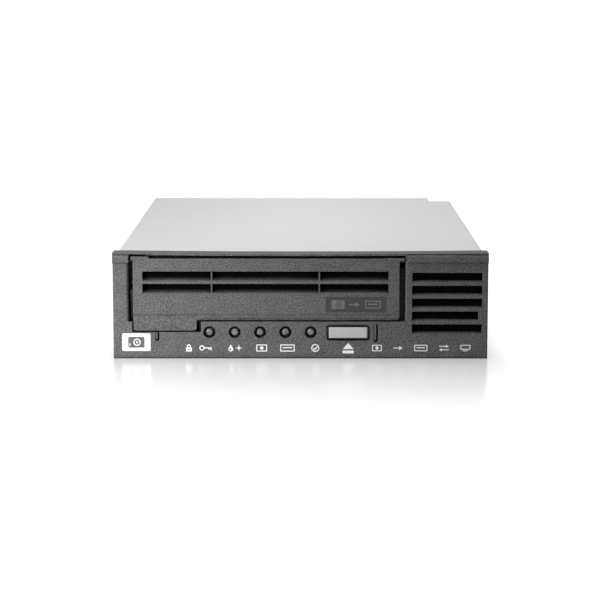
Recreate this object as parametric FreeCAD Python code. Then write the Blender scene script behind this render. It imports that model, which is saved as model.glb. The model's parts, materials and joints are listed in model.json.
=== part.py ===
"""Half-height data tape drive for a 5.25 inch bay, built as the assembly that it really is.

Millimetres. X runs to the right seen from the front, Y from the front panel to the rear panel, Z up.
The origin is the middle of the drive's box, on the plane that the drive stands on.
The drive is laid out from the inside: the cartridge, the reel and the tape path set its outer size,
which comes to the bay standard's 146.05 wide, and 210 deep and 42.3 tall with the front panel.
The script writes one STEP file per named sub-part to the folder parts.
"""

import FreeCAD
import Part

import math
import os

# ---------------------------------------------------------------- driving dimensions

# sheet, plates and walls
chassis_lift = 0.4  # the front panel reaches this far below the chassis
cover_sheet = 0.8
rear_sheet = 0.8
side_wall = 2.0
deck_plate = 2.0
under_deck_room = 5.8  # between the lower cover and the deck
lid_headroom = 4.1  # between a cartridge in the bay and the lid
rail_width = 7.0
rail_rise = 3.2  # the rails stand this far above the deck
cover_flange_drop = 9.0
cover_edge_radius = 0.7
corner_notch_width = 10.3  # the rear right corner is cut away
corner_notch_depth = 14.5
deck_from_rim = 2.0
deck_end_gap = 6.2  # between the deck and the fan

# the cartridge that the drive takes, and the tray it rides on
cartridge_width = 105.4
cartridge_height = 21.5
cartridge_length = 102.0
cartridge_clearance = 0.1
cartridge_from_face = 9.5
tray_side_clearance = 0.6
tray_sheet = 0.8
tray_floor = 1.0
tray_front_from_face = 17.0
tray_overhang = 5.5  # how far the cartridge reaches past the tray's rear edge
tray_wall_height = 9.1
tray_drop = 4.0
tray_lowered_gap = 0.9
tray_window_width = 16.0
tray_window_length = 12.0
tray_window_from_front = 8.0
tray_window_from_middle = 30.0
tray_pin_radius = 1.0
tray_pin_shank = 0.7
tray_pin_rise = 3.7  # above the tray's floor
pin_slot_clearance = 0.15
pin_proud = 0.1  # the pins end this far outside the cams
front_pin_from_tray = 15.0
rear_pin_from_tray_end = 10.0

# cam sliders, guides and their motor
plate_clearance = 0.3
cam_wall_gap = 0.325
cam_plate = 1.2
cam_travel = 12.0
cam_slot_end = 3.0  # metal left beyond the end of a cam slot
cam_above_pin = 1.8
cam_rear_reach = 7.0
cam_tail_height = 3.5
guide_plate = 1.0
guide_front_reach = 8.0
guide_rear_reach = 6.0
guide_foot = 5.0
guide_foot_sheet = 0.8
tie_bar_height = 1.2
tie_bar_width = 4.0
tie_tab_drop = 1.0
deck_clearance = 0.3
loader_motor_gap = 0.9
loader_rail_gap = 0.5  # at least this much from the motor to the rail
loader_motor_radius = 6.5
loader_motor_flat = 5.2  # from the axis to the flat sides
screw_in_motor = 2.9
loader_motor_length = 18.0
loader_motor_from_face = 13.0
loader_axis_rise = 7.5
loader_screw_radius = 1.5
loader_screw_length = 46.0
bracket_sheet = 0.8
bracket_end = 2.0
bracket_reach = 3.0
nut_length = 8.0
nut_from_motor = 5.0
nut_clearance = 0.1
nut_reach = 4.0

# supply spindle
supply_bore_radius = 22.0
chuck_radius = 17.0
chuck_plate = 1.2
chuck_boss_radius = 6.0
chuck_boss = 0.6
chuck_tooth_height = 1.4
chuck_tooth_ring = 14.5
chuck_tooth_root = 1.1
chuck_tooth_tip = 0.5
chuck_teeth = 24
supply_shaft_radius = 2.5
bearing_radius = 5.0
bearing_housing = 2.0
bearing_drop = 0.2
running_fit = 0.04
seat_fit = 0.02
motor_radius = 20.0
motor_plate = 1.0
magnet_gap = 0.4
supply_magnet = 2.2
supply_magnet_gap = 1.0  # to the deck above it
supply_magnet_inset = 0.5
supply_plate_rim = 2.5
supply_plate_gap = 0.3
supply_leg_inset = 1.3
supply_leg_radius = 1.0
supply_legs = 3
coil_count = 9
coil_bore = 1.8
supply_coil_radius = 4.2
supply_coil_circle = 13.5

# take-up reel
reel_gap = 12.0  # between the cartridge and the reel
reel_radius = 41.0
reel_rear_gap = 2.7
reel_side_gap = 6.025
reel_hub_radius = 18.0
reel_flange = 0.8
reel_hole_radius = 7.0
hub_hole_radius = 3.2
hub_hole_circle = 11.0
hub_floor = 3.0
reel_holes = 6
docking_width = 5.0
docking_depth = 5.0
tape_width = 12.65
tape_edge_room = 0.2
takeup_coil = 1.4
takeup_coil_radius = 4.1
takeup_coil_circle = 13.0
takeup_magnet = 2.8
takeup_shaft_radius = 3.0
retainer_gap = 0.1
retainer_rim = 1.6
retainer_height = 1.0

# tape path
pivot_from_reel = 13.0
pivot_from_cartridge = 36.5
arm_reach = 33.0
arm_wall_gap = 5.525
arm_start_deg = -75.0
arm_plate = 1.5
arm_width = 5.0
arm_drop_inset = 0.9
arm_hub_radius = 4.0
arm_hub_height = 6.0
arm_shaft_radius = 2.0
arm_shaft_end = 0.3
arm_seat_gap = 0.1
grabber_size = 5.0
grabber_height = 7.0
grabber_rise = 4.0  # above the cartridge's underside
grabber_mouth = 1.1
grabber_roof = 1.2
roller_circle = 25.5
roller_angles_deg = (-50.0, -20.0, 20.0, 50.0)
roller_radius = 3.5
roller_flange_radius = 4.0
roller_flange = 0.8
roller_end_play = 0.1
roller_post_radius = 1.5
roller_post_depth = 1.0
roller_boss_radius = 3.0
roller_cap_rim = 0.9
roller_cap = 1.0
head_from_pivot = 16.0
head_back_from_pivot = 24.0
head_travel = 3.0
head_height = 11.0
head_width = 8.0
head_crown = 0.8
sled_height = 6.0
sled_thickness = 5.0
sled_arm_width = 5.0
sled_ear = 2.0
sled_rod_radius = 1.0
sled_rod_offset = 6.0
sled_rod_depth = 1.2
head_screw_radius = 1.0
head_screw_depth = 1.9
stepper_radius = 4.4
stepper_clearance = 0.5
bridge_clearance = 3.0
bridge_plate = 1.5
bridge_width = 6.0

# front panel
bezel_side = 1.125  # the panel reaches this far past each side of the chassis
bezel_over_lid = 0.9
bezel_depth = 9.0
face_plate = 2.5
rim_wall = 1.1
bead_projection = 1.0
bead_height = 4.1
bead_top_radius = 1.1
bead_foot_radius = 0.8
bead_cap = 0.45  # the thin strip that runs along above the bead
bead_cap_inset = 0.55
bead_groove = 0.3
bead_groove_depth = 1.0
bead_root = 0.5  # how far the bead reaches into the face
bead_left_overlap = 0.1  # how far the left bead reaches past the opening's edge
bead_right_gap = 0.7
brow_thickness = 0.7
brow_relief = 0.3  # the brow is thinner above the door's left ear
brow_projection = 0.4
brow_sag = 0.45  # the top edge hangs this much lower in the middle
curtain_from_hinge = 1.7  # a thin wall under the brow keeps light out of the gap above the door
curtain_thickness = 1.2
curtain_above_hinge = 0.95
blind_from_door = 0.4  # a rib behind the face keeps light out of the gap right of the door
blind_depth = 1.2
blind_overlap = 1.4
blind_below_hinge = 2.9
face_edge_radius = 0.6
left_pillar_radius = 1.2
right_pillar_radius = 0.6
hook_reach = 6.0
hook_thickness = 1.2
hook_height = 5.0
hook_edge = 0.5
hook_rib = 1.4
hook_seat_inset = 1.5
hook_seat_gap = 0.1
hook_barb = 1.1
hook_barb_length = 2.4
hook_window_gap = 0.3
low_hook_above_rail = 2.3
high_hook_below_flange = 5.5

# cartridge door
door_left_inset = 0.43  # the door's left edge lies this far inside the cartridge's
door_right_overlap = 0.2  # the door reaches this far past the cartridge's right edge
door_thickness = 2.8
door_above_floor = 0.4  # the door ends this much above a cartridge's underside
door_over_hinge = 1.15
door_chamfer_height = 1.4
door_chamfer_depth = 0.5
door_line_depth = 0.35  # a line with a slanting lower side runs on from the tab's top
door_line_height = 0.8
door_corner_radius = 1.2
opening_corner_radius = 0.6
tab_width = 24.97
tab_drop = 4.2
tab_setback = 0.45
tab_line_rise = 2.3
tab_left_radius = 0.8
gap_left = 1.76
gap_right = 2.36
gap_below = 0.55
tab_gap_left = 0.5
tab_gap_right = 1.75
hinge_from_face = 2.1
open_door_clearance = 0.3  # between the opened door and a cartridge below it
hinge_pin_radius = 0.8
hinge_running_clearance = 0.05
hinge_end_play = 0.2
knuckle_radius = 1.25
knuckle_left_reach = 7.7
knuckle_right_reach = 2.8
ear_left_rise = 0.8
ear_right_rise = 0.2
ear_left_height = 1.5
ear_right_height = 1.2
ear_left_width = 5.8
ear_right_width = 6.1
ear_right_proud = 0.25
ear_left_gap = 0.8
ear_right_gap = 0.4
boss_length = 3.0
boss_setback = 1.0
boss_wall = 2.2
boss_top = 2.0
pin_in_boss = 2.0
spring_from_door_edge = 1.7
spring_length = 3.6
spring_wire = 0.2
spring_turns = 8
spring_clearance = 0.1
spring_leg_inset = 0.3
spring_leg_sink = 0.05
spring_leg_gap = 0.35
coil_overlap = 0.52  # tube radius over pitch, so that each turn touches the next
spring_pocket = 0.2
spring_pocket_depth = 1.5
spring_pocket_drop = 1.7

# vent slots in the door, and the grille beside it
vent_from_door_left = 3.73
vent_from_door_right = 4.3
vent_below_door_top = 5.15
vent_pitch = 4.95
vent_height = 4.0
vent_count = 2
vent_rib = 0.5
vent_rib_from_end = 27.3
vent_rib_setback = 0.2
louvre_rise = 1.8
grille_from_opening = 2.66
grille_from_side = 2.35
grille_below_top = 7.9
grille_pitch = 5.15
grille_height = 4.1
grille_count = 5
grille_nub_row = 3
grille_nub_width = 1.5

# emblem recess in the door
emblem_width = 24.0
emblem_height = 6.2
emblem_from_right = 5.0
emblem_rise = 3.2
emblem_depth = 0.3

# indicators and eject button
lens_count = 5
lens_pitch = 10.03
lens_from_tab = 5.1
lens_below_door = 4.8
lens_radius = 1.45
lens_collar_radius = 2.0
lens_collar = 0.8
lens_fit = 0.05
lens_inset = 0.25
lens_dome = 0.8
lens_well_radius = 2.4
lens_well_depth = 1.9
led_gap = 0.2
button_width = 15.3
button_height = 4.4
button_from_lens = 14.83
button_below_door = 4.95
button_gap = 1.0
button_corner_radius = 1.2
button_edge_radius = 0.45
button_proud = 0.3
button_flange = 0.8
button_flange_thickness = 1.0
button_flange_gap = 0.2
button_travel = 0.8
switch_gap = 0.2
switch_size = 6.0
switch_floor = 0.3
plunger_radius = 1.7
plunger_fit = 0.05
plunger_play = 0.1

# label plate and release slots in the face
badge_width = 11.4
badge_height = 7.2
badge_from_side = 3.45
badge_bottom = 3.0
badge_thickness = 0.4
badge_recess = 0.3
badge_fit = 0.05
badge_corner_radius = 0.6
release_slot_width = 1.7
release_slot_depth = 1.2
release_tongue = 0.7
release_tongue_inset = 0.25
left_slot_from_badge = 2.6
left_slot_below_tab = 0.5
left_slot_height = 3.7
right_slot_from_button = 10.95
right_slot_below_door = 1.5
right_slot_height = 7.3

# front panel board
panel_board = 1.6
panel_board_from_face = 7.0
panel_board_bottom = 2.4
panel_board_below_door = 1.8
panel_board_left_reach = 4.4
panel_board_right_reach = 17.05
panel_post_radius = 2.2
panel_post_height = 5.0
panel_post_from_left = 3.4
panel_post_middle = 38.4
panel_post_from_right = 3.0
panel_screw_depth = 3.0
led_thickness = 1.2
led_size = 1.8
ribbon_width = 10.0
ribbon_from_right = 22.0
ribbon_thickness = 0.3
ribbon_overlap = 6.0
ribbon_plug_depth = 2.2
ribbon_plug_height = 2.0
ribbon_plug_rim = 1.0
ribbon_plug_gap = 0.1

# mounting holes of the form factor, M3
mount_hole_radius = 1.25
side_hole_depth = 4.0
bottom_hole_depth = 6.0
hole_pitch_y = 79.25
bottom_hole_inset = 3.175
first_hole_from_bezel = 47.4
side_hole_low = 9.93
side_hole_high = 21.84

# screws
screw_core_radius = 1.0
screw_core_fit = 0.02
screw_hole_clearance = 0.1
screw_end_room = 0.2
screw_head_radius = 2.0
screw_head_height = 0.9
screw_socket_radius = 0.7
screw_recess_radius = 0.9
screw_socket_depth = 0.5
countersink_gap = 0.1
cover_screw_above_flange = 3.5
cover_screw_front = 16.0
cover_screw_rear = 12.0
cover_boss_radius = 3.2
cover_boss_inset = 12.025
cover_boss_front = 10.0
cover_boss_from_board = 10.0
cover_boss_rear = 18.0
head_sink = 0.05
socket_floor = 0.1
head_clearance = 0.3
cover_gap = 0.2  # round the lower cover
cover_front_gap = 0.5
screw_end_gap = 0.5

# main board, its parts and the lower cover's vents
board_thickness = 1.6
board_from_cover = 2.2
board_left_gap = 9.025
board_right_gap = 15.025
board_front_gap = 17.5  # in front of the cartridge's rear face
board_rear_gap = 8.0
board_screw_inset = 6.0
board_screw_cap = 1.0  # deck metal left above a board screw
board_screw_rear_left = 11.0
board_screw_rear_right = 13.0
board_screw_middle_x = 68.0
board_screw_middle_y = 60.0
standoff_radius = 3.0
board_hole_clearance = 0.2
board_boss_clearance = 0.5
capacitor_radius = 2.2
capacitor_height = 1.6
capacitor_pitch = 9.0
capacitor_side_pitch = 8.0
capacitor_front_row = 6
capacitor_side_row = 4
capacitor_inset = 14.0
capacitor_side_inset = 4.0
capacitor_side_start = 30.0
chips = (  # from the board's left edge, from its front edge, width, depth, height
    (32, 30, 27, 27, 1.8),
    (70, 18, 17, 17, 1.4),
    (82, 50, 14, 20, 1.2),
    (18, 72, 12, 18, 1.2),
    (52, 70, 12, 18, 1.2),
    (32, 10, 10, 8, 1.0),
    (98, 24, 8, 8, 1.0),
    (96, 76, 10, 10, 1.5),
)
vent_slot_width = 3.0
vent_slot_length = 12.0
vent_slot_pitch_x = 10.0
vent_slot_pitch_y = 20.0
vent_slot_columns = 9
vent_slot_rows = 3
vent_slot_from_left = 22.0
vent_slot_from_front = 40.0

# rear connectors, fan and reader
sas_width = 44.0
sas_height = 6.6
sas_rise = 1.4
sas_from_wall = 35.025
sas_shell = 1.2
sas_depth = 6.0
sas_tongue = 1.2
sas_tongue_inset = 1.2
sas_tongue_setback = 0.6
sas_key_width = 1.6
sas_key_from_middle = 2.4
port_width = 12.4
port_height = 5.0
port_from_sas = 40.0
port_length = 9.0
port_depth = 6.0
port_shell = 0.8
port_pin = 0.5
port_pin_pitch = 2.0
port_pin_row = 0.8
port_pins_per_row = 5
port_pin_setback = 1.5
connector_gap = 0.2
rear_hole_radius = 1.5
rear_hole_pitch = 5.0
rear_hole_rows = 3
rear_hole_columns = 16
rear_hole_from_wall = 9.025
rear_hole_height = 19.6
fan_size = 30.0
fan_depth = 10.0
fan_gap = 5.925
fan_above_middle = 1.5
fan_bore_radius = 13.8
fan_hub_radius = 6.5
fan_blade_radius = 13.2
fan_blade = 1.0
fan_blade_pitch_deg = 35.0
fan_blades = 7
fan_shaft_radius = 0.8
fan_rotor_depth = 6.0
fan_rotor_gap = 0.5
fan_shaft_end = 0.2
fan_hub_plate = 1.5
fan_strut = 1.8
fan_struts = 3
fan_hole_pitch = 24.0
fan_corner_radius = 2.0
fan_screw_depth = 5.0
grille_web = 1.5
grille_rings = ((12.6, 9.9), (8.7, 6.0), (4.8, 1.6))
reader_width = 14.0
reader_height = 13.0
reader_thickness = 1.2
reader_foot = 1.8
reader_foot_height = 2.0
reader_clearance = 2.0
reader_reel_gap = 0.5

bite = 0.1  # how far joined blocks of one piece reach into each other
beyond = 1.0  # how far a cut reaches past the metal

# ---------------------------------------------------------------- places worked out from them

# across the drive, from the wall on the left: the reel and the arm, or the bay and its motor
across_reel = (reel_side_gap + 2 * reel_radius + pivot_from_reel + arm_reach + grabber_size / 2
               + arm_wall_gap)
across_bay = (cam_wall_gap + 2 * (cam_plate + plate_clearance + guide_plate + plate_clearance + tray_sheet)
              + 2 * tray_side_clearance + cartridge_width + loader_motor_gap + 2 * loader_motor_radius
              + loader_rail_gap + rail_width - side_wall)
inner_width = max(across_reel, across_bay)
chassis_width = inner_width + 2 * side_wall
bezel_width = chassis_width + 2 * bezel_side
x_wall = inner_width / 2
x_side = chassis_width / 2
hole_pitch_x = chassis_width - 2 * bottom_hole_inset
x_notch = x_side - corner_notch_width
x_bezel = bezel_width / 2
takeup_centre_x = -x_wall + reel_side_gap + reel_radius
arm_pivot_x = takeup_centre_x + reel_radius + pivot_from_reel
cam_left = -x_wall + cam_wall_gap + cam_plate
guide_left = cam_left + plate_clearance + guide_plate
tray_left = guide_left + plate_clearance
tray_inner_left = tray_left + tray_sheet
bay_centre_x = tray_inner_left + tray_side_clearance + cartridge_width / 2
tray_inner_right = bay_centre_x + cartridge_width / 2 + tray_side_clearance
tray_right = tray_inner_right + tray_sheet
guide_right = tray_right + plate_clearance
cam_right = guide_right + guide_plate + plate_clearance
loader_axis_x = cam_right + cam_plate + loader_motor_gap + loader_motor_radius
head_axis_x = arm_pivot_x + head_from_pivot
head_back_x = arm_pivot_x + head_back_from_pivot

# along the drive, from the front: bead, face, cartridge, reel, rear panel
overall_depth = (bead_projection + cartridge_from_face + cartridge_length + reel_gap
                 + 2 * reel_radius + reel_rear_gap + rear_sheet)
y_bead = -overall_depth / 2
y_face = y_bead + bead_projection
y_plate_back = y_face + face_plate
y_rim = y_bead + bezel_depth
y_rear = overall_depth / 2
y_rear_sheet = y_rear - rear_sheet
y_notch = y_rear - corner_notch_depth
deck_front = y_rim + deck_from_rim
deck_rear = y_rear_sheet - fan_depth - deck_end_gap
cartridge_front = y_face + cartridge_from_face
cartridge_rear = cartridge_front + cartridge_length
supply_centre_y = (cartridge_front + cartridge_rear) / 2
takeup_centre_y = cartridge_rear + reel_gap + reel_radius
arm_pivot_y = cartridge_rear + pivot_from_cartridge
tray_front = y_face + tray_front_from_face
tray_rear = cartridge_rear - tray_overhang
front_pin_y = tray_front + front_pin_from_tray
rear_pin_y = tray_rear - rear_pin_from_tray_end
cam_front = front_pin_y - cam_travel - cam_slot_end
cam_tail = rear_pin_y + cam_slot_end
cam_rear = tray_rear + cam_rear_reach
loader_motor_front = y_face + loader_motor_from_face
loader_motor_rear = loader_motor_front + loader_motor_length
nut_front = loader_motor_rear + nut_from_motor
screw_rear = loader_motor_rear + loader_screw_length
y_panel_board = y_face + panel_board_from_face
y_first_hole = y_rim + first_hole_from_bezel
hole_rows_y = (y_first_hole, y_first_hole + hole_pitch_y)

# upwards: lower cover, deck, tray, cartridge, lid
z_floor = chassis_lift
z_cover = z_floor + cover_sheet
deck_underside = z_cover + under_deck_room
z_deck = deck_underside + deck_plate
rail_top = z_deck + rail_rise
tray_floor_top = z_deck + tray_lowered_gap + tray_drop + tray_floor
tray_wall_top = tray_floor_top + tray_wall_height
tray_pin_height = tray_floor_top + tray_pin_rise
cartridge_low = tray_floor_top + cartridge_clearance
cartridge_high = cartridge_low + cartridge_height
z_lid_under = cartridge_high + lid_headroom
chassis_height = z_lid_under + cover_sheet - z_floor
z_lid = z_floor + chassis_height
z_flange = z_lid - cover_flange_drop
bezel_height = z_lid + bezel_over_lid
tray_pin_out_left = cam_left - cam_plate - pin_proud
tray_pin_out_right = cam_right + cam_plate + pin_proud
pin_slot_radius = tray_pin_radius + pin_slot_clearance
cam_bottom = rail_top + plate_clearance
cam_top = tray_pin_height + cam_above_pin
cam_tail_top = cam_bottom + cam_tail_height
loader_axis_z = z_deck + loader_axis_rise
hook_heights = (rail_top + low_hook_above_rail, z_flange - high_hook_below_flange)
takeup_coil_top = z_deck + motor_plate + takeup_coil
reel_low = takeup_coil_top + magnet_gap + takeup_magnet
tape_low = reel_low + reel_flange + tape_edge_room
tape_middle = tape_low + tape_width / 2
reel_high = tape_low + tape_width + tape_edge_room + reel_flange
roller_low = tape_low - tape_edge_room
roller_high = tape_low + tape_width + tape_edge_room
arm_height = cartridge_high
grabber_low = cartridge_low + grabber_rise
grabber_high = grabber_low + grabber_height
bridge_height = tape_middle + head_height / 2 + head_travel + bridge_clearance
stepper_top = tape_middle - sled_height / 2 - head_travel - stepper_clearance
supply_magnet_low = deck_underside - supply_magnet_gap - supply_magnet
board_underside = z_cover + board_from_cover
z_board = board_underside + board_thickness

# the door and its opening
door_left = bay_centre_x - cartridge_width / 2 + door_left_inset
door_right = bay_centre_x + cartridge_width / 2 + door_right_overlap
door_bottom = cartridge_low + door_above_floor
hinge_height = cartridge_high + open_door_clearance + hinge_from_face
y_hinge = y_face + hinge_from_face
door_top = hinge_height + door_over_hinge
tab_right = door_left + tab_width
tab_bottom = door_bottom - tab_drop
tab_line = door_bottom + tab_line_rise
emblem_left = door_right - emblem_from_right - emblem_width
emblem_bottom = door_bottom + emblem_rise
opening_left = door_left - gap_left
opening_right = door_right + gap_right
opening_bottom = door_bottom - gap_below
ear_left = opening_left + ear_left_gap
ear_right = opening_right - ear_right_gap
vent_left = door_left + vent_from_door_left
vent_right = door_right - vent_from_door_right
vent_rib_places = (vent_left + vent_rib_from_end, vent_right - vent_rib_from_end)
vent_top = door_top - vent_below_door_top
grille_left = opening_right + grille_from_opening
grille_right = x_bezel - grille_from_side
grille_top = bezel_height - grille_below_top

# the row of indicators, the button and the slots below the door
first_lens_x = tab_right + lens_from_tab
lens_places = [first_lens_x + n * lens_pitch for n in range(lens_count)]
lens_height = door_bottom - lens_below_door
button_centre_x = lens_places[-1] + button_from_lens
button_centre_z = door_bottom - button_below_door
y_plunger = y_plate_back + button_flange_gap + button_flange_thickness
badge_left = -x_bezel + badge_from_side
left_slot_x = badge_left + badge_width + left_slot_from_badge
left_slot_top = tab_bottom - left_slot_below_tab
left_slot_bottom = left_slot_top - left_slot_height
right_slot_x = button_centre_x + right_slot_from_button
right_slot_top = door_bottom - right_slot_below_door
right_slot_bottom = right_slot_top - right_slot_height
panel_board_left = first_lens_x - panel_board_left_reach
panel_board_right = button_centre_x + panel_board_right_reach
panel_board_top = door_bottom - panel_board_below_door

# the main board, the connectors and the fan
board_left = -x_wall + board_left_gap
board_right = x_wall - board_right_gap
board_front = cartridge_rear - board_front_gap
board_rear = y_rear - board_rear_gap
sas_centre_x = -x_wall + sas_from_wall
sas_low = z_floor + sas_rise
port_centre_x = sas_centre_x + port_from_sas
fan_centre_x = x_notch - rear_sheet - fan_gap - fan_size / 2
fan_centre_z = (z_floor + z_lid_under) / 2 + fan_above_middle


# ---------------------------------------------------------------- small makers


def vec(x, y, z):
    return FreeCAD.Vector(x, y, z)


def block(x0, x1, y0, y1, z0, z1):
    """A box between two corners."""
    return Part.makeBox(x1 - x0, y1 - y0, z1 - z0, vec(x0, y0, z0))


def rod(radius, start, end):
    """A round bar from one point to another."""
    along = vec(*end) - vec(*start)
    return Part.makeCylinder(radius, along.Length, vec(*start), along)


def ring(outer, inner, start, end):
    """A tube from one point to another."""
    along = (vec(*end) - vec(*start)).normalize()
    longer_start = vec(*start) - along
    longer_end = vec(*end) + along
    bore = rod(inner, tuple(longer_start), tuple(longer_end))
    return rod(outer, start, end).cut(bore)


def prism_x(outline_yz, x0, x1):
    """A solid with the given outline in the YZ plane, from x0 to x1."""
    points = [vec(x0, y, z) for y, z in outline_yz]
    face = Part.Face(Part.makePolygon(points + [points[0]]))
    return face.extrude(vec(x1 - x0, 0, 0))


def prism_z(outline_xy, z0, z1):
    """A solid with the given outline in the XY plane, from z0 to z1."""
    points = [vec(x, y, z0) for x, y in outline_xy]
    face = Part.Face(Part.makePolygon(points + [points[0]]))
    return face.extrude(vec(0, 0, z1 - z0))


def slot_x(x0, x1, start_yz, end_yz, radius):
    """A bar along X whose section is a rounded slot between two points of the YZ plane."""
    (ya, za), (yb, zb) = start_yz, end_yz
    length = math.hypot(yb - ya, zb - za)
    side_y = -(zb - za) / length * radius
    side_z = (yb - ya) / length * radius
    outline = [
        (ya + side_y, za + side_z),
        (yb + side_y, zb + side_z),
        (yb - side_y, zb - side_z),
        (ya - side_y, za - side_z),
    ]
    first = rod(radius, (x0, ya, za), (x1, ya, za))
    last = rod(radius, (x0, yb, zb), (x1, yb, zb))
    return prism_x(outline, x0, x1).fuse([first, last]).removeSplitter()


def joined(shapes):
    """All shapes as one solid."""
    return shapes[0].fuse(shapes[1:]).removeSplitter()


def group(shapes):
    """Separate solids in one node."""
    return Part.makeCompound(shapes)


def edges_where(shape, test):
    """The edges whose both ends pass a test."""
    found = []
    for edge in shape.Edges:
        ends = [v.Point for v in edge.Vertexes]
        if len(ends) == 2 and all(test(p) for p in ends):
            found.append(edge)
    return found


def near(a, b):
    return abs(a - b) < 1e-4


def countersink(outer_end, outward, depth, spare):
    """The cone of a countersunk screw head that ends at outer_end, grown by spare."""
    out = vec(*outward)
    return Part.makeCone(screw_core_radius + spare, screw_head_radius + spare, depth,
                         vec(*outer_end) - out * depth, out)


def flush_screw(outer_end, outward, depth, core_length):
    """A countersunk screw whose head's face is at outer_end."""
    out = vec(*outward)
    face = vec(*outer_end)
    root = face - out * depth
    head = countersink(outer_end, outward, depth, 0.0)
    core = rod(screw_core_radius - screw_core_fit, tuple(root), tuple(root - out * core_length))
    socket = rod(screw_socket_radius, tuple(face - out * screw_socket_depth), tuple(face + out))
    return head.fuse(core).cut(socket).removeSplitter()


def pan_screw(x, y, z, core_length, up=1):
    """A screw whose head's outer face is at z: its core goes up, or down where up is -1."""
    head_end = z + up * screw_head_height
    head = rod(screw_head_radius, (x, y, z), (x, y, head_end))
    recess = rod(screw_recess_radius, (x, y, z - up), (x, y, z + up * screw_head_height / 2))
    core = rod(screw_core_radius, (x, y, head_end), (x, y, head_end + up * core_length))
    return head.cut(recess).fuse(core).removeSplitter()


# ---------------------------------------------------------------- front panel


def brow_arc_radius():
    """Radius of the long arc that gives the top edge its sag."""
    return (x_bezel**2 + brow_sag**2) / (2 * brow_sag)


def above_brow(offset):
    """Everything above the sagging top edge, lowered by offset."""
    radius = brow_arc_radius()
    centre_z = bezel_height - offset - brow_sag + radius
    return rod(radius, (0, y_bead - beyond, centre_z), (0, y_rim + beyond, centre_z))


def below_brow():
    """Everything under the top strip."""
    return block(-bezel_width, bezel_width, y_bead - 2 * beyond, y_rim + 2 * beyond,
                 -beyond, bezel_height - brow_sag - brow_thickness)


def louvre_cut(x0, x1, top, height, y_back):
    """A slot through the face whose lower lip slopes up towards the inside."""
    bottom = top - height
    outline = [
        (y_bead - beyond, top),
        (y_back + beyond, top),
        (y_back + beyond, bottom + louvre_rise),
        (y_back, bottom + louvre_rise),
        (y_face, bottom),
        (y_bead - beyond, bottom),
    ]
    return prism_x(outline, x0, x1)


def release_slot(x, bottom, top):
    """A short upright slot in the face with a tongue left standing at its left side."""
    left = x - release_slot_width / 2
    right = x + release_slot_width / 2
    y_end = y_face + release_slot_depth
    z_round = bottom + release_slot_width / 2
    foot = rod(release_slot_width / 2, (x, y_face - beyond, z_round), (x, y_end, z_round))
    body = block(left, right, y_face - beyond, y_end, z_round, top)
    tongue_left = left + release_tongue_inset
    tongue = block(tongue_left, tongue_left + release_tongue, y_face, y_end + beyond, z_round, top + beyond)
    return body.fuse(foot).cut(tongue)


def bead_block(x0, x1):
    """One end of the projecting bead along the top of the face, with its cap strip and groove."""
    roll_top = bezel_height - bead_cap - bead_groove
    roll_low = bezel_height - bead_height
    y_back = y_face + bead_root
    roll = block(x0, x1, y_bead, y_back, roll_low, roll_top)
    top_edge = edges_where(roll, lambda p: near(p.y, y_bead) and near(p.z, roll_top))
    roll = roll.makeFillet(bead_top_radius, top_edge)
    foot_edge = edges_where(roll, lambda p: near(p.y, y_bead) and near(p.z, roll_low))
    roll = roll.makeFillet(bead_foot_radius, foot_edge)
    cap = block(x0, x1, y_bead + bead_cap_inset, y_back, bezel_height - bead_cap, bezel_height)
    web = block(x0, x1, y_bead + bead_groove_depth, y_back, roll_low + bead_foot_radius, bezel_height)
    return joined([roll, cap, web])


def hook_spans(side):
    """X from the inner face of a side's snap hooks to their outer face."""
    outer = x_wall - plate_clearance
    return sorted((side * outer, side * (outer - hook_thickness)))


def snap_hooks(side):
    """The two snap hooks of one side, with barbs and the ribs that seat on the chassis wall."""
    a, b = hook_spans(side)
    tip = y_rim + hook_reach
    y_root = y_plate_back - bite
    solids = []
    for z in hook_heights:
        solids.append(block(a, b, y_root, tip, z, z + hook_height))
        outer = side * (x_wall - plate_clearance)
        barb_out = outer + side * (plate_clearance + hook_barb)
        outline = [
            (outer - side * bite, tip - hook_barb_length),
            (barb_out, tip - hook_barb_length),
            (outer - side * bite, tip),
        ]
        solids.append(prism_z(outline, z + hook_edge, z + hook_height - hook_edge))
        rib = sorted((outer - side * hook_thickness, side * (x_bezel - bite)))
        solids.append(block(rib[0], rib[1], y_root, y_plate_back + hook_rib, z, z + hook_height))
        seat = sorted((side * (x_wall + hook_seat_gap), side * (x_bezel - bite)))
        solids.append(block(seat[0], seat[1], y_root, y_rim,
                            z + hook_seat_inset, z + hook_height - hook_seat_inset))
    return solids


def hook_windows(side):
    """The windows in a side wall that the barbs snap into."""
    a, b = sorted((side * (x_wall - beyond), side * (x_side + beyond)))
    tip = y_rim + hook_reach
    return [block(a, b, tip - hook_barb_length - hook_window_gap, tip + hook_window_gap,
                  z + hook_edge - hook_window_gap, z + hook_height - hook_edge + hook_window_gap)
            for z in hook_heights]


def hinge_boss(x0, x1):
    """A block behind the face that holds a hinge pin."""
    return block(x0, x1, y_face + boss_setback, y_hinge + boss_wall,
                 hinge_height - boss_wall, hinge_height + boss_top)


def door_opening():
    """The space cut from the face for the door, its lower tab and its hinge ears."""
    y0 = y_bead - beyond
    y1 = y_rim + beyond
    z_top = bezel_height + beyond
    main = block(opening_left, opening_right, y0, y1, opening_bottom, z_top)
    corner = edges_where(main, lambda p: near(p.x, opening_right) and near(p.z, opening_bottom))
    main = main.makeFillet(opening_corner_radius, corner)
    tab_x0 = door_left - tab_gap_left
    tab_x1 = tab_right + tab_gap_right
    tab = block(tab_x0, tab_x1, y0, y1, tab_bottom - gap_below, opening_bottom + bite)
    rounds = [
        pillar_round(opening_left, left_pillar_radius, -1),
        pillar_round(opening_right, right_pillar_radius, 1),
    ]
    opening = main.fuse([tab] + rounds)
    return opening.cut(brow_body())


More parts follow.
